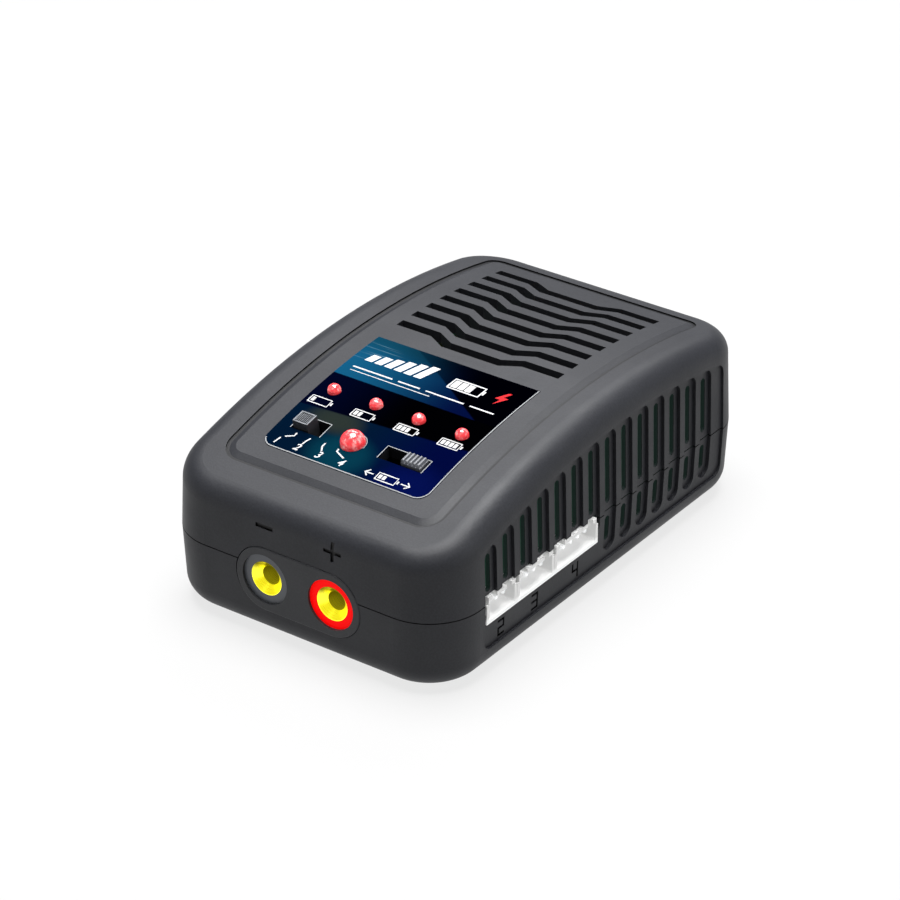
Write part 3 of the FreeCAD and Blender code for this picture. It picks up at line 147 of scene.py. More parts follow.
class Shade:
    """A node material in the making, with short ways to add the nodes that this part uses."""

    SOCKETS = {"base_color": "Base Color", "roughness": "Roughness", "metallic": "Metallic",
               "specular": "Specular IOR Level", "coat": "Coat Weight",
               "coat_roughness": "Coat Roughness", "subsurface": "Subsurface Weight",
               "subsurface_radius": "Subsurface Radius", "subsurface_scale": "Subsurface Scale",
               "emission_color": "Emission Color", "emission_strength": "Emission Strength",
               "ior": "IOR"}

    def __init__(self, material):
        """Start a new material, given its name, or take up a finished one to add to it."""
        if isinstance(material, str):
            material = bpy.data.materials.new(material)
            material.use_nodes = True
        self.material = material
        self.tree = material.node_tree
        self.bsdf = self.tree.nodes["Principled BSDF"]
        self.place = self.node("ShaderNodeTexCoord").outputs["Object"]

    def node(self, kind, **settings):
        """A new node of the given kind, with its settings."""
        made = self.tree.nodes.new(kind)
        for name, value in settings.items():
            setattr(made, name, value)
        return made

    def feed(self, socket, value):
        """Join another node's output to a socket, or set the socket to a plain value."""
        if isinstance(value, bpy.types.NodeSocket):
            self.tree.links.new(value, socket)
        else:
            socket.default_value = value

    def set(self, **values):
        """Set the shader's own sockets, by their short names."""
        for name, value in values.items():
            self.feed(self.bsdf.inputs[self.SOCKETS[name]], value)

    def math(self, operation, first, second=0.0):
        """The result of one Math node."""
        made = self.node("ShaderNodeMath", operation=operation)
        self.feed(made.inputs[0], first)
        self.feed(made.inputs[1], second)
        return made.outputs[0]

    def noise(self, per_metre, detail=2.0, place=None, roughness=0.5):
        """Cloudy values round 0.5, about per_metre clouds to each metre of place."""
        made = self.node("ShaderNodeTexNoise")
        self.feed(made.inputs["Vector"], place or self.place)
        self.feed(made.inputs["Scale"], per_metre)
        self.feed(made.inputs["Detail"], detail)
        self.feed(made.inputs["Roughness"], roughness)
        return made.outputs["Fac"]

    def ramp(self, value, low, high, to_low=0.0, to_high=1.0):
        """Carry value smoothly from the range low..high over to the range to_low..to_high."""
        made = self.node("ShaderNodeMapRange", interpolation_type="SMOOTHSTEP")
        self.feed(made.inputs["Value"], value)
        for socket, number in zip(made.inputs[1:5], (low, high, to_low, to_high)):
            self.feed(socket, number)
        return made.outputs[0]

    def blend(self, factor, first, second):
        """The first colour where factor is 0, and the second where it is 1."""
        made = self.node("ShaderNodeMix", data_type="RGBA")
        self.feed(made.inputs["Factor"], factor)
        self.feed(made.inputs[6], first)
        self.feed(made.inputs[7], second)
        return made.outputs[2]

    def scaled(self, vector, scale):
        """A vector or colour, multiplied by one number."""
        made = self.node("ShaderNodeVectorMath", operation="SCALE")
        self.feed(made.inputs[0], vector)
        self.feed(made.inputs["Scale"], scale)
        return made.outputs[0]

    def axes(self):
        """The three coordinates of a point, in millimetres, as separate values."""
        made = self.node("ShaderNodeSeparateXYZ")
        self.feed(made.inputs[0], self.scaled(self.place, 1 / MM))
        return made.outputs

    def stretched(self, x, y, z):
        """The place, with each axis scaled on its own."""
        made = self.node("ShaderNodeVectorMath", operation="MULTIPLY")
        self.feed(made.inputs[0], self.place)
        self.feed(made.inputs[1], (x, y, z))
        return made.outputs[0]

    def within(self, *limits):
        """1 inside a box given by (low, high) pairs in millimetres, None for no limit."""
        mask = 1.0
        for value, pair in zip(self.axes(), limits):
            if pair is None:
                continue
            above = self.math("GREATER_THAN", value, pair[0])
            below = self.math("LESS_THAN", value, pair[1])
            mask = self.math("MULTIPLY", mask, self.math("MULTIPLY", above, below))
        return mask

    def rounded_outline(self, half_x, ys, front_radius, back_radius):
        """Distance in millimetres outwards from a rounded rectangle, seen from above."""
        x, y, _ = self.axes()
        middle = (ys[0] + ys[1]) / 2
        radius = self.ramp(y, middle - 1, middle + 1, front_radius, back_radius)
        past = []
        half_y = (ys[1] - ys[0]) / 2
        for value, half in ((self.math("ABSOLUTE", x), half_x),
                            (self.math("ABSOLUTE", self.math("SUBTRACT", y, middle)), half_y)):
            inner = self.math("SUBTRACT", half, radius)
            beyond = self.math("MAXIMUM", self.math("SUBTRACT", value, inner), 0.0)
            past.append(self.math("MULTIPLY", beyond, beyond))
        reach = self.math("SQRT", self.math("ADD", past[0], past[1]))
        return self.math("SUBTRACT", reach, radius)

    def bump(self, height, strength, distance, after=None):
        """Raise the surface by height, distance in millimetres, over an earlier bump if given."""
        made = self.node("ShaderNodeBump")
        self.feed(made.inputs["Height"], height)
        self.feed(made.inputs["Strength"], strength)
        self.feed(made.inputs["Distance"], distance * MM)
        if after is not None:
            self.feed(made.inputs["Normal"], after)
        self.feed(self.bsdf.inputs["Normal"], made.outputs[0])
        return made.outputs[0]


def mottled(shade, colour, amount, per_metre=60):
    """A colour that drifts slightly, darker and lighter, over the surface."""
    dark = tuple(channel * (1 - amount) for channel in colour[:3]) + (1,)
    light = tuple(min(1, channel * (1 + amount)) for channel in colour[:3]) + (1,)
    return shade.blend(shade.ramp(shade.noise(per_metre, 3), 0.3, 0.7), dark, light)


def moulded_plastic(name, colour, roughness=0.55, grain=0.012, grain_scale=3600, specular=0.3,
                    drift=0.06):
    """Injection-moulded plastic with a spark-eroded texture."""
    shade = Shade(name)
    fine = shade.noise(grain_scale, 2)
    coarse = shade.noise(grain_scale / 3, 2)
    gloss = shade.ramp(shade.noise(90, 3), 0.3, 0.7, roughness - 0.04, roughness + 0.04)
    speck = shade.ramp(fine, 0.3, 0.7, 0.9, 1.1)
    base = mottled(shade, colour, drift)
    shade.set(base_color=shade.scaled(base, speck), roughness=gloss, specular=specular)
    first = shade.bump(coarse, 0.5, grain * 1.5)
    shade.bump(fine, 0.8, grain, first)
    return shade.material


def engraving_mask(shade):
    """1 inside the minus and the plus in the front wall, and the cell counts in the right one."""
    front_wall = (-53.12, -52.8)
    minus = shade.within((-9.9, -5.74), front_wall, (24.53, 25.47))
    plus_bar = shade.within((6.15, 10.29), front_wall, (24.6, 25.4))
    plus_post = shade.within((7.82, 8.62), (-52.98, -52.8), (22.93, 27.07))
    cell_counts = shade.within((32.5, 33.02), (-39, -1.5), (6.2, 10.3))
    marks = shade.math("MAXIMUM", minus, shade.math("MAXIMUM", plus_bar, plus_post))
    return shade.math("MAXIMUM", marks, cell_counts)


def crease_mask(shade):
    """Rises to 1 across the moat, towards the foot of its outer wall."""
    outline = shade.rounded_outline(MOAT_HALF_WIDTH, MOAT_YS, MOAT_FRONT_RADIUS, MOAT_BACK_RADIUS)
    near_wall = shade.ramp(outline, -0.9, -0.45)
    on_top = shade.within(None, None, (30, 40))
    inside = shade.math("LESS_THAN", outline, 0.04)
    return shade.math("MULTIPLY", shade.math("MULTIPLY", near_wall, on_top), inside)


def jamb_mask(shade):
    """1 on the walls inside the side slots, where a green glow is painted as if cast by the cards
    behind.
    """
    # How high the slots reach under the arch's peak, and which part of the wall's thickness gets
    # the painted glow, as measured at the parting.
    slot_ceiling = 32.4
    glow_from, glow_to = 31.3, 32.6
    x, y, z = shade.axes()
    from_peak = shade.math("SUBTRACT", y, ARCH_CENTRE_Y / MM)
    fall = shade.math("DIVIDE", shade.math("MULTIPLY", from_peak, from_peak),
                      2 * ARCH_RADIUS / MM)
    low_enough = shade.math("LESS_THAN", shade.math("ADD", z, fall), slot_ceiling)
    lean = shade.math("MULTIPLY", shade.math("ABSOLUTE", shade.math("SUBTRACT", z, PARTING)),
                      math.tan(WALL_LEAN))
    depth = shade.math("ADD", shade.math("ABSOLUTE", x), lean)
    in_wall = shade.math("MULTIPLY", shade.math("GREATER_THAN", depth, glow_from),
                         shade.math("LESS_THAN", depth, glow_to))
    beside_slots = shade.within(None, (-39, 44), (8, 34))
    return shade.math("MULTIPLY", shade.math("MULTIPLY", low_enough, in_wall), beside_slots)


def case_plastic():
    """The two shells: textured plastic, with painted shade in the engravings, the narrow gaps and
    the moat's crease.
    """
    material = moulded_plastic("case_plastic", srgb(37, 38, 42), 0.5, 0.018, 2600, 0.25)
    shade = Shade(material)
    seam_reach = 0.115
    seam = shade.within(None, None, (PARTING - seam_reach, PARTING + seam_reach))
    crease = shade.math("MULTIPLY", crease_mask(shade), 0.75)
    # Painted shade: near black in the engravings and the parting gap, and up to three quarters of
    # that along the crease at the foot of the moat's outer wall.
    painted_shade = shade.math("MAXIMUM", engraving_mask(shade), shade.math("MAXIMUM", seam, crease))
    unshaded_colour = shade.bsdf.inputs["Base Color"].links[0].from_socket
    # Painted glow: dim green light on the walls inside the side slots, as if cast by the cards
    # behind.
    shade.set(base_color=shade.blend(painted_shade, unshaded_colour, srgb(3, 3, 4)),
              emission_color=srgb(26, 46, 38),
              emission_strength=shade.math("MULTIPLY", jamb_mask(shade), 0.4))
    return material


def smooth_plastic(name, colour, roughness=0.3, specular=0.5, drift=0.04, **more):
    """Plastic with a polished mould finish: faint flow marks and a little dust."""
    shade = Shade(name)
    flow = shade.noise(260, 4, shade.stretched(1, 0.35, 1))
    dust = shade.ramp(shade.noise(2600, 3), 0.62, 0.72, 0, 0.12)
    shade.set(base_color=mottled(shade, colour, drift, 180),
              roughness=shade.math("ADD", dust, roughness), specular=specular, **more)
    shade.bump(flow, 0.25, 0.01)
    return shade.material


def turned_brass(name):
    """Brass turned on a lathe: a painted highlight on the flare at the mouth, painted shade at its
    top, and a dim bore with a painted glow.
    """
    shade = Shade(name)
    bright, dull, shadow = srgb(255, 246, 70), srgb(150, 140, 30), srgb(96, 90, 12)
    _, y, z = shade.axes()
    above_axis = shade.math("SUBTRACT", z, SOCKET_HEIGHT)
    past_flare = shade.math("SUBTRACT", y, FLARE_END)
    rings = shade.noise(1, 3, shade.stretched(300, 9000, 300))
    mouth = shade.ramp(past_flare, 0.15, -0.05)
    lower_half = shade.ramp(above_axis, 2.2, -1.2)
    # Painted glow on the lower half of the mouth.
    mouth_glow = shade.math("MULTIPLY", mouth, shade.ramp(lower_half, 0, 1, 0.02, 0.62))
    # Painted glow in the bore: fading inwards from the mouth, and stronger low down.
    fading = shade.ramp(past_flare, 0, 7, 0.2, 0.03)
    dusk = shade.ramp(above_axis, 1.0, -1.6, 0.25, 1.0)
    glow = shade.math("ADD", mouth_glow, shade.math("MULTIPLY", fading, dusk))
    # Painted highlight on the flare, turning to painted shade towards its top.
    shaded = shade.blend(shade.ramp(above_axis, 1.0, 2.6), bright, shadow)
    shade.set(base_color=shade.blend(mouth, dull, shaded), metallic=1.0,
              roughness=shade.ramp(rings, 0.3, 0.7, 0.2, 0.32),
              emission_color=srgb(255, 240, 30), emission_strength=glow)
    shade.bump(rings, 0.2, 0.006)
    return shade.material


def plated_metal(name, colour, roughness=0.3, scratch=0.3):
    """Plated or tinned metal, with small scratches and a cloudy finish."""
    shade = Shade(name)
    cloud = shade.noise(700, 4)
    scratches = shade.noise(1, 2, shade.stretched(600, 9000, 600))
    shade.set(base_color=mottled(shade, colour, 0.1, 500), metallic=1.0,
              roughness=shade.ramp(cloud, 0.3, 0.7, roughness - 0.07, roughness + 0.1))
    shade.bump(scratches, scratch, 0.01)
    return shade.material


def rubber(name, colour):
    """Matt rubber with a fine grain."""
    shade = Shade(name)
    shade.set(base_color=mottled(shade, colour, 0.15, 300), specular=0.25,
              roughness=shade.ramp(shade.noise(1500, 3), 0.3, 0.7, 0.7, 0.9))
    shade.bump(shade.noise(5200, 2), 0.6, 0.02)
    return shade.material


def solder_mask(name):
    """Circuit board: green mask with copper tracks showing faintly through it."""
    shade = Shade(name)
    x, y, _ = shade.axes()
    wave = shade.math("SINE", shade.math("MULTIPLY", x, 2.6))
    steps = shade.math("SINE", shade.math("ADD", shade.math("MULTIPLY", y, 0.55),
                                          shade.math("MULTIPLY", wave, 1.4)))
    tracks = shade.ramp(steps, 0.1, 0.2)
    colour = shade.blend(tracks, srgb(16, 52, 36), srgb(26, 74, 50))
    shade.set(base_color=colour, roughness=0.3, specular=0.4)
    shade.bump(tracks, 0.5, 0.03)
    return shade.material


def lamp_lens(name):
    """Diffused red lens: glossy, with paler streaks where the light scatters inside."""
    shade = Shade(name)
    swirl = shade.noise(900, 4, roughness=0.7)
    streak = shade.ramp(swirl, 0.46, 0.72)
    inner = shade.blend(streak, srgb(236, 62, 68), srgb(255, 160, 158))
    shade.set(base_color=inner, roughness=0.12, specular=0.6, coat=0.5, coat_roughness=0.05,
              subsurface=0.35, subsurface_radius=(1.0, 0.3, 0.3), subsurface_scale=0.6 * MM,
              emission_color=inner, emission_strength=0.34)
    shade.bump(shade.noise(1500, 2), 0.25, 0.03)
    return shade.material


def printed_film(name):
    """The panel label: a black middle band between a blue band behind and a dusky one in front."""
    shade = Shade(name)
    x, y, _ = shade.axes()

    def across(low, high):
        return shade.ramp(x, low, high)

    def patch(centre_x, centre_y, reach_x, reach_y):
        """A soft oval patch, 1 at its centre."""
        part_x = shade.math("DIVIDE", shade.math("SUBTRACT", x, centre_x), reach_x)
        part_y = shade.math("DIVIDE", shade.math("SUBTRACT", y, centre_y), reach_y)
        squares = shade.math("ADD", shade.math("MULTIPLY", part_x, part_x),
                             shade.math("MULTIPLY", part_y, part_y))
        return shade.ramp(squares, 1.0, 0.0)

    # Behind: azure at the left, fading to black at the right, with a darker sky above a diagonal.
    near_sky = shade.blend(across(-20, 10), printed(24, 106, 150), printed(4, 18, 70))
    far_sky = shade.blend(across(-19, 4), printed(20, 84, 112), printed(4, 12, 26))
    sky = shade.blend(shade.ramp(y, -9.5, -1.5), near_sky, far_sky)
    streaks = shade.noise(1, 3, shade.stretched(45, 1500, 0))
    streaks = shade.math("MULTIPLY", shade.ramp(streaks, 0.55, 0.8), patch(-20, -6.5, 11, 4.5))
    sky = shade.blend(streaks, sky, printed(170, 225, 245))
    diagonal = shade.math("ADD", shade.math("MULTIPLY", x, 0.62), y)
    dimmed_sky = shade.blend(0.45, sky, printed(3, 14, 40))
    dark_sky = shade.blend(across(-8, 9), dimmed_sky, (0, 0, 0.0005, 1))
    sky = shade.blend(shade.ramp(diagonal, -7.6, -7.1), sky, dark_sky)
    # Middle: nearly black, with a breath of navy at the left.
    night = shade.blend(across(-20, 2), printed(2, 8, 40), printed(1, 1, 3))
    # In front: navy, with a brown glow beside the left switch and a teal one in the middle.
    dusk = shade.blend(across(-6, 16), printed(3, 30, 58), printed(2, 12, 70))
    dusk = shade.blend(patch(-3, -36, 9, 7), dusk, printed(8, 70, 92))
    dusk = shade.blend(patch(-9.5, -28.5, 8, 4.5), dusk, printed(52, 62, 58))
    dusk = shade.blend(patch(14, -39, 9, 9), dusk, printed(6, 20, 92))
    front_edge = shade.math("SUBTRACT", y, shade.math("MULTIPLY", x, 0.066))
    picture = shade.blend(shade.ramp(front_edge, -26.1, -25.6), dusk, night)
    picture = shade.blend(shade.ramp(y, -16.25, -16.0), picture, sky)
    shade.set(base_color=picture, specular=0.0, ior=1.04,
              roughness=shade.ramp(shade.noise(9000, 1), 0.3, 0.7, 0.5, 0.6))
    shade.bump(shade.noise(1400, 3), 0.2, 0.006)
    return shade.material


def ink(name, colour, glow=0.0):
    """Screen-printed ink: slightly uneven cover, with a matt surface."""
    shade = Shade(name)
    cover = mottled(shade, colour, 0.04, 2500)
    # glow is a painted glow in the ink's own colour.
    shade.set(base_color=cover, roughness=0.5, specular=0.1, emission_color=colour,
              emission_strength=glow)
    shade.bump(shade.noise(6000, 2), 0.3, 0.01)
    return shade.material


def wound_wire(name, colour, per_metre, axis):
    """Enamelled wire laid side by side round a core."""
    shade = Shade(name)
    turns = shade.node("ShaderNodeTexWave", bands_direction="XYZ"[axis], wave_profile="SIN")
    shade.feed(turns.inputs["Vector"], shade.place)
    shade.feed(turns.inputs["Scale"], per_metre)
    shade.feed(turns.inputs["Distortion"], 0.4)
    # Painted shade: the wire darkens to 0.35 of its colour between the turns.
    dark = tuple(channel * 0.35 for channel in colour[:3]) + (1,)
    shade.set(base_color=shade.blend(turns.outputs["Fac"], dark, colour), roughness=0.3,
              metallic=0.6, coat=0.4)
    shade.bump(turns.outputs["Fac"], 1.0, 0.2)
    return shade.material


def film_wrap(name, colour, stripe):
    """A shrink sleeve or tape with printed stripes at even heights and fine creases."""
    shade = Shade(name)
    _, _, z = shade.axes()
    band = shade.ramp(shade.math("ABSOLUTE", shade.math("SINE", shade.math("MULTIPLY", z, 0.9))),
                      0.93, 0.95)
    base = shade.blend(band, mottled(shade, colour, 0.08, 300), stripe)
    shade.set(base_color=base, roughness=0.35, specular=0.4, coat=0.2)
    shade.bump(shade.noise(1, 3, shade.stretched(500, 500, 2600)), 0.3, 0.03)
    return shade.material


def ceramic_black(name, colour):
    """Black moulding compound or ferrite, slightly porous."""
    shade = Shade(name)
    pores = shade.ramp(shade.noise(4200, 3), 0.3, 0.45)
    shade.set(base_color=mottled(shade, colour, 0.15, 400), specular=0.35,
              roughness=shade.ramp(shade.noise(800, 3), 0.3, 0.7, 0.5, 0.7))
    shade.bump(pores, 0.4, 0.02)
    return shade.material


# ---------------------------------------------------------------- pieces

def dress(mesh, material):
    """Give a mesh one material."""
    mesh.materials.clear()
    mesh.materials.append(material)


def finish_piece(name, mesh, material, body="charger"):
    """Put a mesh into the scene as a named piece that rides on a body."""
    piece = bpy.data.objects.new(name, mesh)
    scene.collection.objects.link(piece)
    dress(mesh, material)
    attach(piece, body)
    return piece


def mesh_from(shape, name):
    """A bmesh written out as a mesh, and freed."""
    mesh = bpy.data.meshes.new(name)
    shape.to_mesh(mesh)
    shape.free()
    return mesh


def curve_mesh(curve):
    """The mesh that a curve or a text makes."""
    carrier = bpy.data.objects.new(curve.name, curve)
    scene.collection.objects.link(carrier)
    bpy.context.view_layer.update()
    graph = bpy.context.evaluated_depsgraph_get()
    mesh = bpy.data.meshes.new_from_object(carrier.evaluated_get(graph))
    bpy.data.objects.remove(carrier)
    return mesh


def fit_arch():
    """Centre and radius of the label's arch, through three points on its left margin."""
    label = nodes["panel_label"].data
    surface = BVHTree.FromPolygons([vertex.co.copy() for vertex in label.vertices],
                                   [polygon.vertices[:] for polygon in label.polygons])
    low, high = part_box("panel_label")
    points = []
    for part in (0.15, 0.5, 0.95):
        start = Vector((low.x + 1.2 * MM, low.y + (high.y - low.y) * part, 0.1))
        points.append((start.y, surface.ray_cast(start, Vector((0, 0, -1)))[0].z))
    (ay, az), (by, bz), (cy, cz) = points
    d = 2 * (ay * (bz - cz) + by * (cz - az) + cy * (az - bz))
    a, b, c = [y * y + z * z for y, z in points]
    centre_y = (a * (bz - cz) + b * (cz - az) + c * (az - bz)) / d
    centre_z = (a * (cy - by) + b * (ay - cy) + c * (by - ay)) / d
    return centre_y, centre_z, math.hypot(ay - centre_y, az - centre_z)


ARCH_CENTRE_Y, ARCH_CENTRE_Z, ARCH_RADIUS = fit_arch()


def arch_height(y):
    """Height of the label's surface, which is an arch along Y."""
    return ARCH_CENTRE_Z + math.sqrt(ARCH_RADIUS ** 2 - (y - ARCH_CENTRE_Y) ** 2)


def lay_on_label(name, parts, material):
    """Join flat meshes drawn in the XY plane, and bend them down onto the arched label."""
    joined = bmesh.new()
    for part in parts:
        joined.from_mesh(part)
        bpy.data.meshes.remove(part)
    for vertex in joined.verts:
        vertex.co.z += arch_height(vertex.co.y)
    finish_piece(name, mesh_from(joined, name), material)


def divided(points):
    """Points about BEND_STEP apart along the line through points, all but the last one."""
    spaced = []
    for (x0, y0), (x1, y1) in zip(points, points[1:]):
        pieces = max(1, round(math.hypot(x1 - x0, y1 - y0) / BEND_STEP))
        spaced += [(x0 + (x1 - x0) * i / pieces, y0 + (y1 - y0) * i / pieces)
                   for i in range(pieces)]
    return spaced


def plate(outline):
    """A thin plate with the given outline, in millimetres."""
    shape = bmesh.new()
    points = divided(outline + outline[:1])
    bottom, top = [[shape.verts.new((x * MM, y * MM, z)) for x, y in points]
                   for z in (-PRINT_THICKNESS / 2, PRINT_THICKNESS)]
    count = len(points)
    for i in range(count):
        after = (i + 1) % count
        shape.faces.new((bottom[i], bottom[after], top[after], top[i]))
    shape.faces.new(top)
    shape.faces.new(list(reversed(bottom)))
    bmesh.ops.triangulate(shape, faces=[f for f in shape.faces if len(f.verts) > 4])
    bmesh.ops.recalc_face_normals(shape, faces=shape.faces)
    return mesh_from(shape, "plate")


def stroke(points, width):
    """A printed line of the given width through points, in millimetres."""
    curve = bpy.data.curves.new("stroke", "CURVE")
    curve.dimensions = "3D"
    curve.bevel_depth = width / 2 * MM
    curve.bevel_resolution = 2
    curve.use_fill_caps = True
    spaced = divided(points) + points[-1:]
    spline = curve.splines.new("POLY")
    spline.points.add(len(spaced) - 1)
    for point, (x, y) in zip(spline.points, spaced):
        point.co = (x * MM, y * MM, 0, 1)
    mesh = curve_mesh(curve)
    flat = PRINT_THICKNESS / curve.bevel_depth
    for vertex in mesh.vertices:
        vertex.co.z *= flat
    return mesh


def number_mark(text, x, y, height, lean=0.25):
    """A printed number, in the plain built-in face, leaning to the right."""
    curve = bpy.data.curves.new("number", "FONT")
    curve.body = text
    # A digit of the built-in face is 0.7 of its size tall, and the offset makes it bolder.
    curve.size = height / 0.7 * MM
    curve.align_x = "CENTER"
    curve.align_y = "CENTER"
    curve.extrude = PRINT_THICKNESS
    curve.offset = 0.04 * MM
    curve.shear = lean
    mesh = curve_mesh(curve)
    # Weld the faces to the sides, so that the number is one closed solid.
    shape = bmesh.new()
    shape.from_mesh(mesh)
    bmesh.ops.remove_doubles(shape, verts=shape.verts, dist=0.001 * MM)
    bmesh.ops.triangulate(shape, faces=shape.faces)
    bmesh.ops.recalc_face_normals(shape, faces=shape.faces)
    for face in shape.faces:
        face.smooth = False
    shape.to_mesh(mesh)
    shape.free()
    mesh.transform(Matrix.Translation((x * MM, y * MM, 0)))
    return mesh


def leaning_bar(x, y, width, height, lean=0.3):
    """A slanted block, as on a charge gauge."""
    return plate([(x + dx + lean * dy, y + dy)
                  for dx, dy in ((0, 0), (width, 0), (width, height), (0, height))])


def battery_mark(x, y, width, height, cells, line=0.28):
    """A battery in outline with some of its four cells filled."""
    left, right = x - width / 2, x + width / 2
    low, high = y - height / 2, y + height / 2
    case = [(left, low), (right, low), (right, high), (left, high), (left, low)]
    terminal = right + 0.45
    parts = [stroke(case, line),
             stroke([(terminal, y - height * 0.2), (terminal, y + height * 0.2)], 0.4)]
    pitch = (width - 0.7) / 4
    for cell in range(cells):
        start = left + 0.42 + cell * pitch
        end = start + pitch - 0.25
        parts.append(plate([(start, low + 0.4), (end, low + 0.4), (end, high - 0.4),
                            (start, high - 0.4)]))
    return parts


def bolt_mark(x, y, height):
    """A small lightning bolt."""
    outline = [(0.22, 0.5), (0.02, 0.12), (0.28, 0.12), (-0.12, -0.5), (-0.02, -0.08),
               (-0.28, -0.08), (0.05, 0.5)]
    return [plate([(x + dx * height, y + dy * height) for dx, dy in outline])]


def print_title(white, red):
    """Title area: a charge gauge of slanted blocks, two small marks and plain rules."""
    gauge = [leaning_bar(-16.6 + 2.35 * step, -9.9, 1.75, 2.4 + 0.5 * step) for step in range(6)]
    lay_on_label("print_gauge", gauge, white)
    rule = [stroke([(start, -12.7), (start + length, -12.7)], 0.42)
            for start, length in ((-17.2, 9.5), (-6.3, 5.2), (0.3, 9.0), (10.7, 5.6))]
    rule.append(stroke([(-17.0, -13.9), (2.0, -13.9)], 0.22))
    lay_on_label("print_rule", rule, white)
    lay_on_label("print_battery", battery_mark(6.6, -7.9, 7.2, 3.2, 3, 0.4), white)
    lay_on_label("print_bolt", bolt_mark(14.6, -7.7, 4.6), red)


def print_legends(white):
    """The marks that go with the small lamps and with the two switches."""
    # One battery with one to four cells under each small lamp.
    legends = []
    for cells, x in enumerate((-16.0, -5.9, 4.3, 14.4), start=1):
        legends += battery_mark(x, -24.7 + 0.02 * x, 4.6, 2.0, cells)
    lay_on_label("print_lamp_legends", legends, white)

    # Charge current: four numbers, each with a bent tick that points at its switch stop.
    numbers = [number_mark(str(number), x, -37.9, 1.7)
               for number, x in enumerate((-16.7, -11.7, -6.6, -1.3), start=1)]
    lay_on_label("print_current_numbers", numbers, white)
    ticks = [[(-15.7, -36.4), (-14.06, -35.5), (-14.13, -34.7)],
             [(-11.26, -36.8), (-11.1, -35.9), (-10.7, -34.8)],
             [(-6.7, -36.7), (-7.3, -35.65), (-7.25, -34.7)],
             [(-3.95, -34.9), (-3.85, -35.6), (-1.54, -36.6)]]
    lay_on_label("print_current_ticks", [stroke(tick, 0.36) for tick in ticks], white)

    # Battery type: a small battery between two arrows that point away from it.
    row, line = -37.7, 0.3
    kind = battery_mark(9.4, row, 4.4, 1.8, 2)
    for side in (-1, 1):
        tip = 9.6 + side * 5.2
        barb = tip - side * 0.9
        kind.append(stroke([(barb, row + 0.8), (tip, row), (barb, row - 0.8)], line))
        kind.append(stroke([(tip, row), (tip - side * 2.0, row)], line))
    lay_on_label("print_type_legend", kind, white)


def arc(centre_x, centre_y, radius_x, radius_y, angles):
    """Points on a round or slightly oval arc, at angles in degrees."""
    return [(centre_x + radius_x * math.cos(math.radians(angle)),
             centre_y + radius_y * math.sin(math.radians(angle))) for angle in angles]


def slot_edge(ends, reach):
    """A painted highlight along the edge round a switch slot, open in front: its ends in x, and its
    reach in v.
    """
    back, front = [(PANEL @ Vector((0, (CONTROL_ROW + v) * MM, 0))).y / MM for v in (reach, -reach)]
    back += 0.1
    return stroke([(ends[0], front), (ends[0], back), (ends[1], back), (ends[1], front)], 0.22)


def print_cut_edges(edge_highlight):
    """Painted highlights along cut edges of the film, where they catch the light."""
    # Round the outside, along the front and the right side.
    low, high = [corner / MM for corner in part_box("panel_label")]
    inset, radius = 0.14, 2.46
    left, right, front, back = low.x + inset, high.x - inset, low.y + inset, high.y - inset
    edge = arc(left + radius, front + radius, radius, radius, [200 + 8.75 * i for i in range(9)])
    edge += arc(right - radius, front + radius, radius, radius, [270 + 11.25 * i for i in range(9)])
    edge.append((right, back))
    lay_on_label("label_edge", [stroke(edge, 0.27)], edge_highlight)

    # Round the switch slots, and beside the large lamp, on the back right of its hole's rim.
    slots = [slot_edge((-16.4, -9.36), 2.0), slot_edge((4.16, 14.44), 1.8)]
    lay_on_label("slot_edges", slots, edge_highlight)
    centre = PANEL @ Vector((-2.5 * MM, -5.94 * MM, 0)) / MM
    beside_lamp = arc(centre.x, centre.y, 2.72, 2.68, range(-10, 75, 12))
    lay_on_label("lamp_edge", [stroke(beside_lamp, 0.16)], edge_highlight)


def print_label():
    """Everything that is printed on the panel label."""
    # The white and the red ink get a painted glow.
    white = ink("white_ink", (0.42, 0.42, 0.425, 1), 0.1)
    red = ink("red_ink", (0.34, 0.003, 0.006, 1), 0.3)
    # Painted highlight: a pale ink with a little glow, laid along the edges that catch the light.
    edge_highlight = ink("painted_edge_highlight", printed(226, 229, 233), 0.12)
    print_title(white, red)
    print_legends(white)
    print_cut_edges(edge_highlight)


def cuboid(shape, x, v, w, taper=0.0):
    """Add a block between pairs of limits in millimetres, its top narrower by taper a side."""
    corners = []
    for level, shrink in ((w[0], 0.0), (w[1], taper)):
        for px, pv in ((x[0] + shrink, v[0] + shrink), (x[1] - shrink, v[0] + shrink),
                       (x[1] - shrink, v[1] - shrink), (x[0] + shrink, v[1] - shrink)):
            corners.append(shape.verts.new((px * MM, pv * MM, level * MM)))
    for face in ((3, 2, 1, 0), (4, 5, 6, 7), (0, 1, 5, 4), (1, 2, 6, 5), (2, 3, 7, 6), (3, 0, 4, 7)):
        shape.faces.new([corners[i] for i in face])


def panel_piece(name, shape, material, body, bevel):
    """Finish a knob drawn in the leaning panel's own axes, with its edges rounded."""
    mesh = mesh_from(shape, name)
    mesh.transform(PANEL)
    piece = finish_piece(name, mesh, material, body)
    rounding = piece.modifiers.new("edges", "BEVEL")
    rounding.width = bevel * MM
    rounding.segments = 3
    rounding.limit_method = "ANGLE"
    piece.modifiers.new("shading", "WEIGHTED_NORMAL")
    return piece


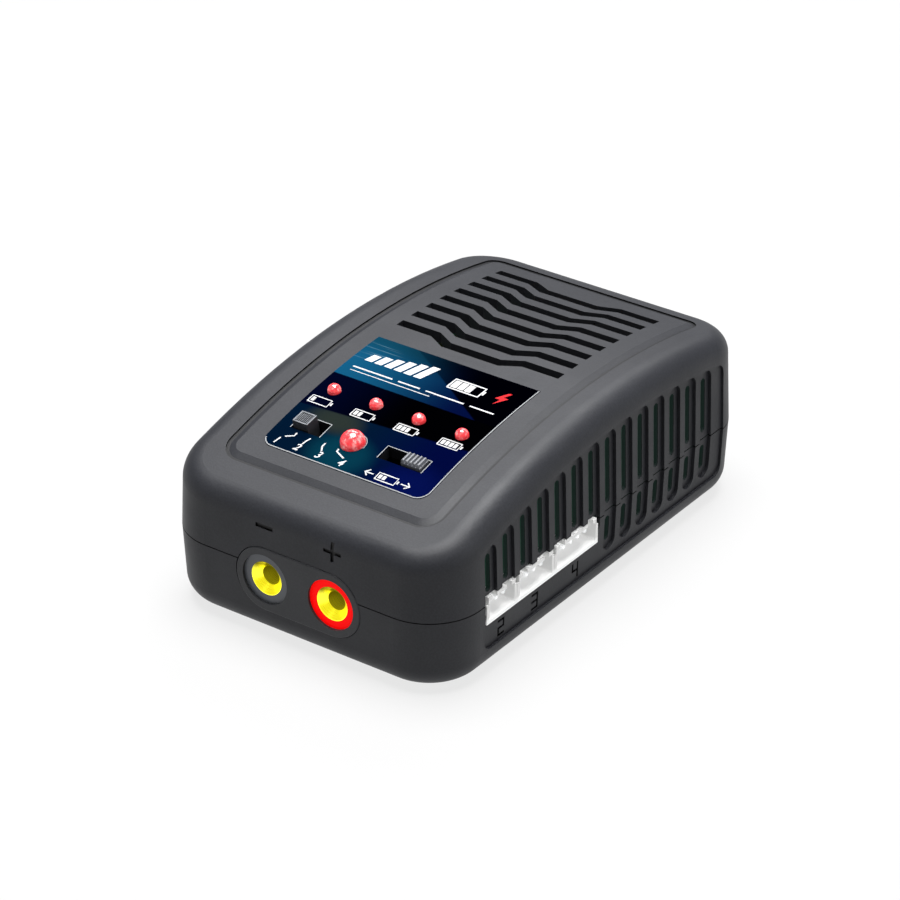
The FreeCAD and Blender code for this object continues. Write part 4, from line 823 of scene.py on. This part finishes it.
def ribbed_plastic():
    """The current knob's plastic, with painted shade between the ribs."""
    material = moulded_plastic("ribbed_plastic", srgb(104, 107, 112), 0.4, 0.008, 4200, 0.4)
    shade = Shade(material)
    sine, cosine = math.sin(PANEL_TILT), math.cos(PANEL_TILT)
    _, y, z = shade.axes()
    rise = shade.math("ADD", shade.math("MULTIPLY", z, cosine), shade.math("MULTIPLY", y, -sine))
    panel_rise = (PANEL_ORIGIN.z * cosine - PANEL_ORIGIN.y * sine) / MM
    below = shade.math("LESS_THAN", rise, panel_rise + CURRENT_KNOB_TOP - 0.1)
    unshaded_colour = shade.bsdf.inputs["Base Color"].links[0].from_socket
    # Painted shade: everything below the tops of the ribs is darker.
    shade.set(base_color=shade.blend(below, unshaded_colour, srgb(58, 60, 64)))
    return material


def make_current_knob(plastic):
    """A block with a raised rim round a field of fine ribs."""
    low, high = [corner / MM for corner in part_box("current_switch_knob")]
    half, top, inset, rim, ribs = 1.75, CURRENT_KNOB_TOP, 0.1, 0.34, 7
    front, back = CONTROL_ROW - half, CONTROL_ROW + half
    shape = bmesh.new()
    cuboid(shape, (low.x, high.x), (front, back), (KNOB_FOOT, top - 0.3), inset)
    left, right, front, back = low.x + inset, high.x - inset, front + inset, back - inset
    for limits_x, limits_v in (((left, left + rim), (front, back)),
                               ((right - rim, right), (front, back)),
                               ((left + rim, right - rim), (front, front + rim)),
                               ((left + rim, right - rim), (back - rim, back))):
        cuboid(shape, limits_x, limits_v, (top - 0.35, top), 0.03)
    pitch = (right - left - 2 * rim) / ribs
    for rib in range(ribs):
        start = left + rim + pitch * (rib + 0.28)
        cuboid(shape, (start, start + pitch * 0.44), (front + 0.42, back - 0.42),
               (top - 0.35, top - 0.02), 0.03)
    knob = panel_piece("current_knob_cap", shape, plastic, "current_knob", 0.05)
    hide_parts("current_switch_knob")


def make_type_knob(plastic):
    """A block with coarse ridges across it, and a plain skirt below."""
    low, high = [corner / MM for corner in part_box("type_switch_knob")]
    half, top, margin, ridges = 1.55, TYPE_KNOB_TOP, 0.05, 5
    front, back = CONTROL_ROW - half, CONTROL_ROW + half
    shape = bmesh.new()
    cuboid(shape, (low.x, high.x), (front, back), (KNOB_FOOT, top - 0.62), 0.04)
    pitch = (high.x - low.x - 2 * margin) / ridges
    for ridge in range(ridges):
        start = low.x + margin + pitch * ridge
        cuboid(shape, (start, start + pitch - 0.1), (front + 0.06, back - 0.06),
               (top - 0.66, top), 0.2)
    knob = panel_piece("type_knob_cap", shape, plastic, "type_knob", 0.07)
    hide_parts("type_switch_knob")


def make_knobs():
    """The caps of the two slide switches, in place of their plain CAD shapes."""
    plain_plastic = moulded_plastic("knob_plastic", srgb(98, 100, 105), 0.36, 0.008, 4200, 0.45)
    make_current_knob(ribbed_plastic())
    make_type_knob(plain_plastic)


def make_choke():
    """The input choke: wire wound round a ring core that lies inside the CAD torus."""
    low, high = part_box("input_choke")
    centre = (low + high) / 2
    ring_radius, turn_radius, wire_radius = 5.6 * MM, 1.85 * MM, 0.45 * MM
    turns, steps = 34, 14
    curve = bpy.data.curves.new("choke", "CURVE")
    curve.dimensions = "3D"
    curve.bevel_depth = wire_radius
    curve.bevel_resolution = 2
    spline = curve.splines.new("POLY")
    spline.points.add(turns * steps - 1)
    spline.use_cyclic_u = True
    for i, point in enumerate(spline.points):
        along_ring = 2 * math.pi * i / (turns * steps)
        round_turn = 2 * math.pi * i / steps
        reach = ring_radius + turn_radius * math.cos(round_turn)
        point.co = (centre.x + reach * math.cos(along_ring),
                    centre.y + turn_radius * math.sin(round_turn),
                    centre.z + reach * math.sin(along_ring), 1)
    mesh = curve_mesh(curve)
    for polygon in mesh.polygons:
        polygon.use_smooth = True
    wire = plated_metal("choke_wire", srgb(168, 92, 44), 0.3, 0.1)
    coil = finish_piece("choke_coil", mesh, wire)
    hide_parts("input_choke")


def make_insulation():
    """Dark green insulating cards that stand inside the vent slots, one along each side."""
    shade = Shade("insulating_card")
    colour = mottled(shade, srgb(30, 58, 46), 0.2, 300)
    # Painted glow: the cards give off a little light of their own green.
    shade.set(base_color=colour, roughness=0.6, specular=0.2, emission_color=colour,
              emission_strength=0.7)
    shade.bump(shade.noise(1, 3, shade.stretched(900, 900, 4500)), 0.4, 0.02)

    front, back, foot = -38.5, 43.0, 11.3
    ports_back, ports_top = -1.1, 17.4
    faces_x = (30.85, 31.1)
    below_arch, steps = 7.7, 12
    crown = [front + (back - front) * i / steps for i in range(steps + 1)]
    upper = [(y, arch_height(y * MM) / MM - below_arch) for y in reversed(crown)]
    plain_foot = [(front, foot), (back, foot)]
    foot_over_ports = [(front, ports_top), (ports_back, ports_top), (ports_back, foot), (back, foot)]
    for name, side, lower in (("insulating_card_right", 1, foot_over_ports),
                              ("insulating_card_left", -1, plain_foot)):
        shape = bmesh.new()
        walls = [[shape.verts.new((side * x * MM, y * MM, z * MM)) for y, z in lower + upper]
                 for x in faces_x]
        count = len(walls[0])
        for i in range(count):
            after = (i + 1) % count
            shape.faces.new((walls[0][i], walls[0][after], walls[1][after], walls[1][i]))
        faces = [shape.faces.new(wall) for wall in walls]
        bmesh.ops.triangulate(shape, faces=faces)
        bmesh.ops.recalc_face_normals(shape, faces=shape.faces)
        finish_piece(name, mesh_from(shape, name), shade.material)


# ---------------------------------------------------------------- materials on the CAD pieces

def paint(names, material):
    """Give CAD nodes a material."""
    for name in names:
        dress(nodes[name].data, material)


def port_nylon():
    """White nylon, a little translucent, with a painted glow that is weaker towards the top, which
    the light reaches.
    """
    material = smooth_plastic("white_nylon", srgb(222, 222, 221), 0.4, 0.4, 0.01, subsurface=0.2,
                              subsurface_radius=(1, 1, 1), subsurface_scale=0.5 * MM,
                              emission_color=(1, 1, 1, 1))
    shade = Shade(material)
    _, _, z = shade.axes()
    # Painted glow, stronger low down inside the ports.
    shade.set(emission_strength=shade.ramp(z, 11.7, 12.6, 0.3, 0.07))
    return material


def port_pins():
    """Tinned pins, made bright inside the shrouds by a painted glow."""
    material = plated_metal("tinned_pins", srgb(236, 238, 240), 0.25)
    Shade(material).set(emission_color=(1, 1, 1, 1), emission_strength=0.3)
    return material


def paint_everything():
    """Give every CAD node its material, those out of sight too."""
    paint(["upper_shell", "lower_shell"], case_plastic())
    paint(["panel_label"], printed_film("printed_label"))
    paint(["socket_holder"], moulded_plastic("holder_plastic", srgb(44, 45, 48), 0.5, 0.006))
    paint(["socket_ring_minus"], smooth_plastic("grey_ring", srgb(84, 87, 92), 0.4, 0.4))
    # Painted glow: the red ring glows in its own red.
    paint(["socket_ring_plus"], smooth_plastic("red_ring", srgb(226, 2, 2), 0.5, 0.08,
                                               emission_color=srgb(255, 0, 0),
                                               emission_strength=0.55))
    paint(["socket_contact_minus", "socket_contact_plus"], turned_brass("turned_brass"))
    paint([f"balance_port_{pins}" for pins in (3, 4, 5)], port_nylon())
    paint([f"balance_port_{pins}_pins" for pins in (3, 4, 5)], port_pins())
    paint(["mains_inlet"], smooth_plastic("inlet_nylon", srgb(24, 24, 26), 0.4, 0.4))
    paint(["mains_inlet_pins"], plated_metal("inlet_plating", srgb(214, 214, 210), 0.22))
    paint(["current_switch_body", "type_switch_body"],
          plated_metal("switch_cage", srgb(34, 34, 36), 0.6))
    paint([f"status_lamp_{number}" for number in (1, 2, 3, 4)] + ["charge_lamp"],
          lamp_lens("lamp_lens"))
    paint(["control_board", "main_board"], solder_mask("solder_mask"))
    paint(["control_board_screws", "board_screws", "case_screws"],
          plated_metal("zinc_screws", srgb(150, 150, 152), 0.35, 0.4))
    paint(["controller_chip", "switching_transistor", "output_rectifier", "bridge_rectifier",
           "balance_resistors", "link_header"], ceramic_black("moulding_compound", srgb(26, 26, 27)))
    paint(["rubber_feet"], rubber("foot_rubber", srgb(26, 26, 27)))
    paint(["rating_plate"], smooth_plastic("plate_film", srgb(150, 152, 154), 0.4, 0.4))
    paint(["fuse_tube"], smooth_plastic("fuse_sleeve", srgb(70, 66, 60), 0.2, 0.5))
    paint(["suppression_capacitor"], smooth_plastic("film_capacitor", srgb(150, 120, 26), 0.35))
    paint(["output_inductor"], wound_wire("inductor_wire", srgb(150, 84, 42), 400, 0))
    paint(["bulk_capacitor", "output_capacitors"],
          film_wrap("capacitor_sleeve", srgb(28, 30, 40), srgb(120, 122, 124)))
    paint(["transformer_core"], ceramic_black("ferrite", srgb(44, 44, 46)))
    paint(["transformer_winding"],
          film_wrap("winding_tape", srgb(150, 122, 34), srgb(120, 96, 26)))
    paint(["primary_heatsink", "secondary_heatsink"],
          plated_metal("sink_aluminium", srgb(150, 152, 154), 0.4, 0.5))


make_stage()
make_camera()
paint_everything()
print_label()
make_knobs()
make_choke()
make_insulation()
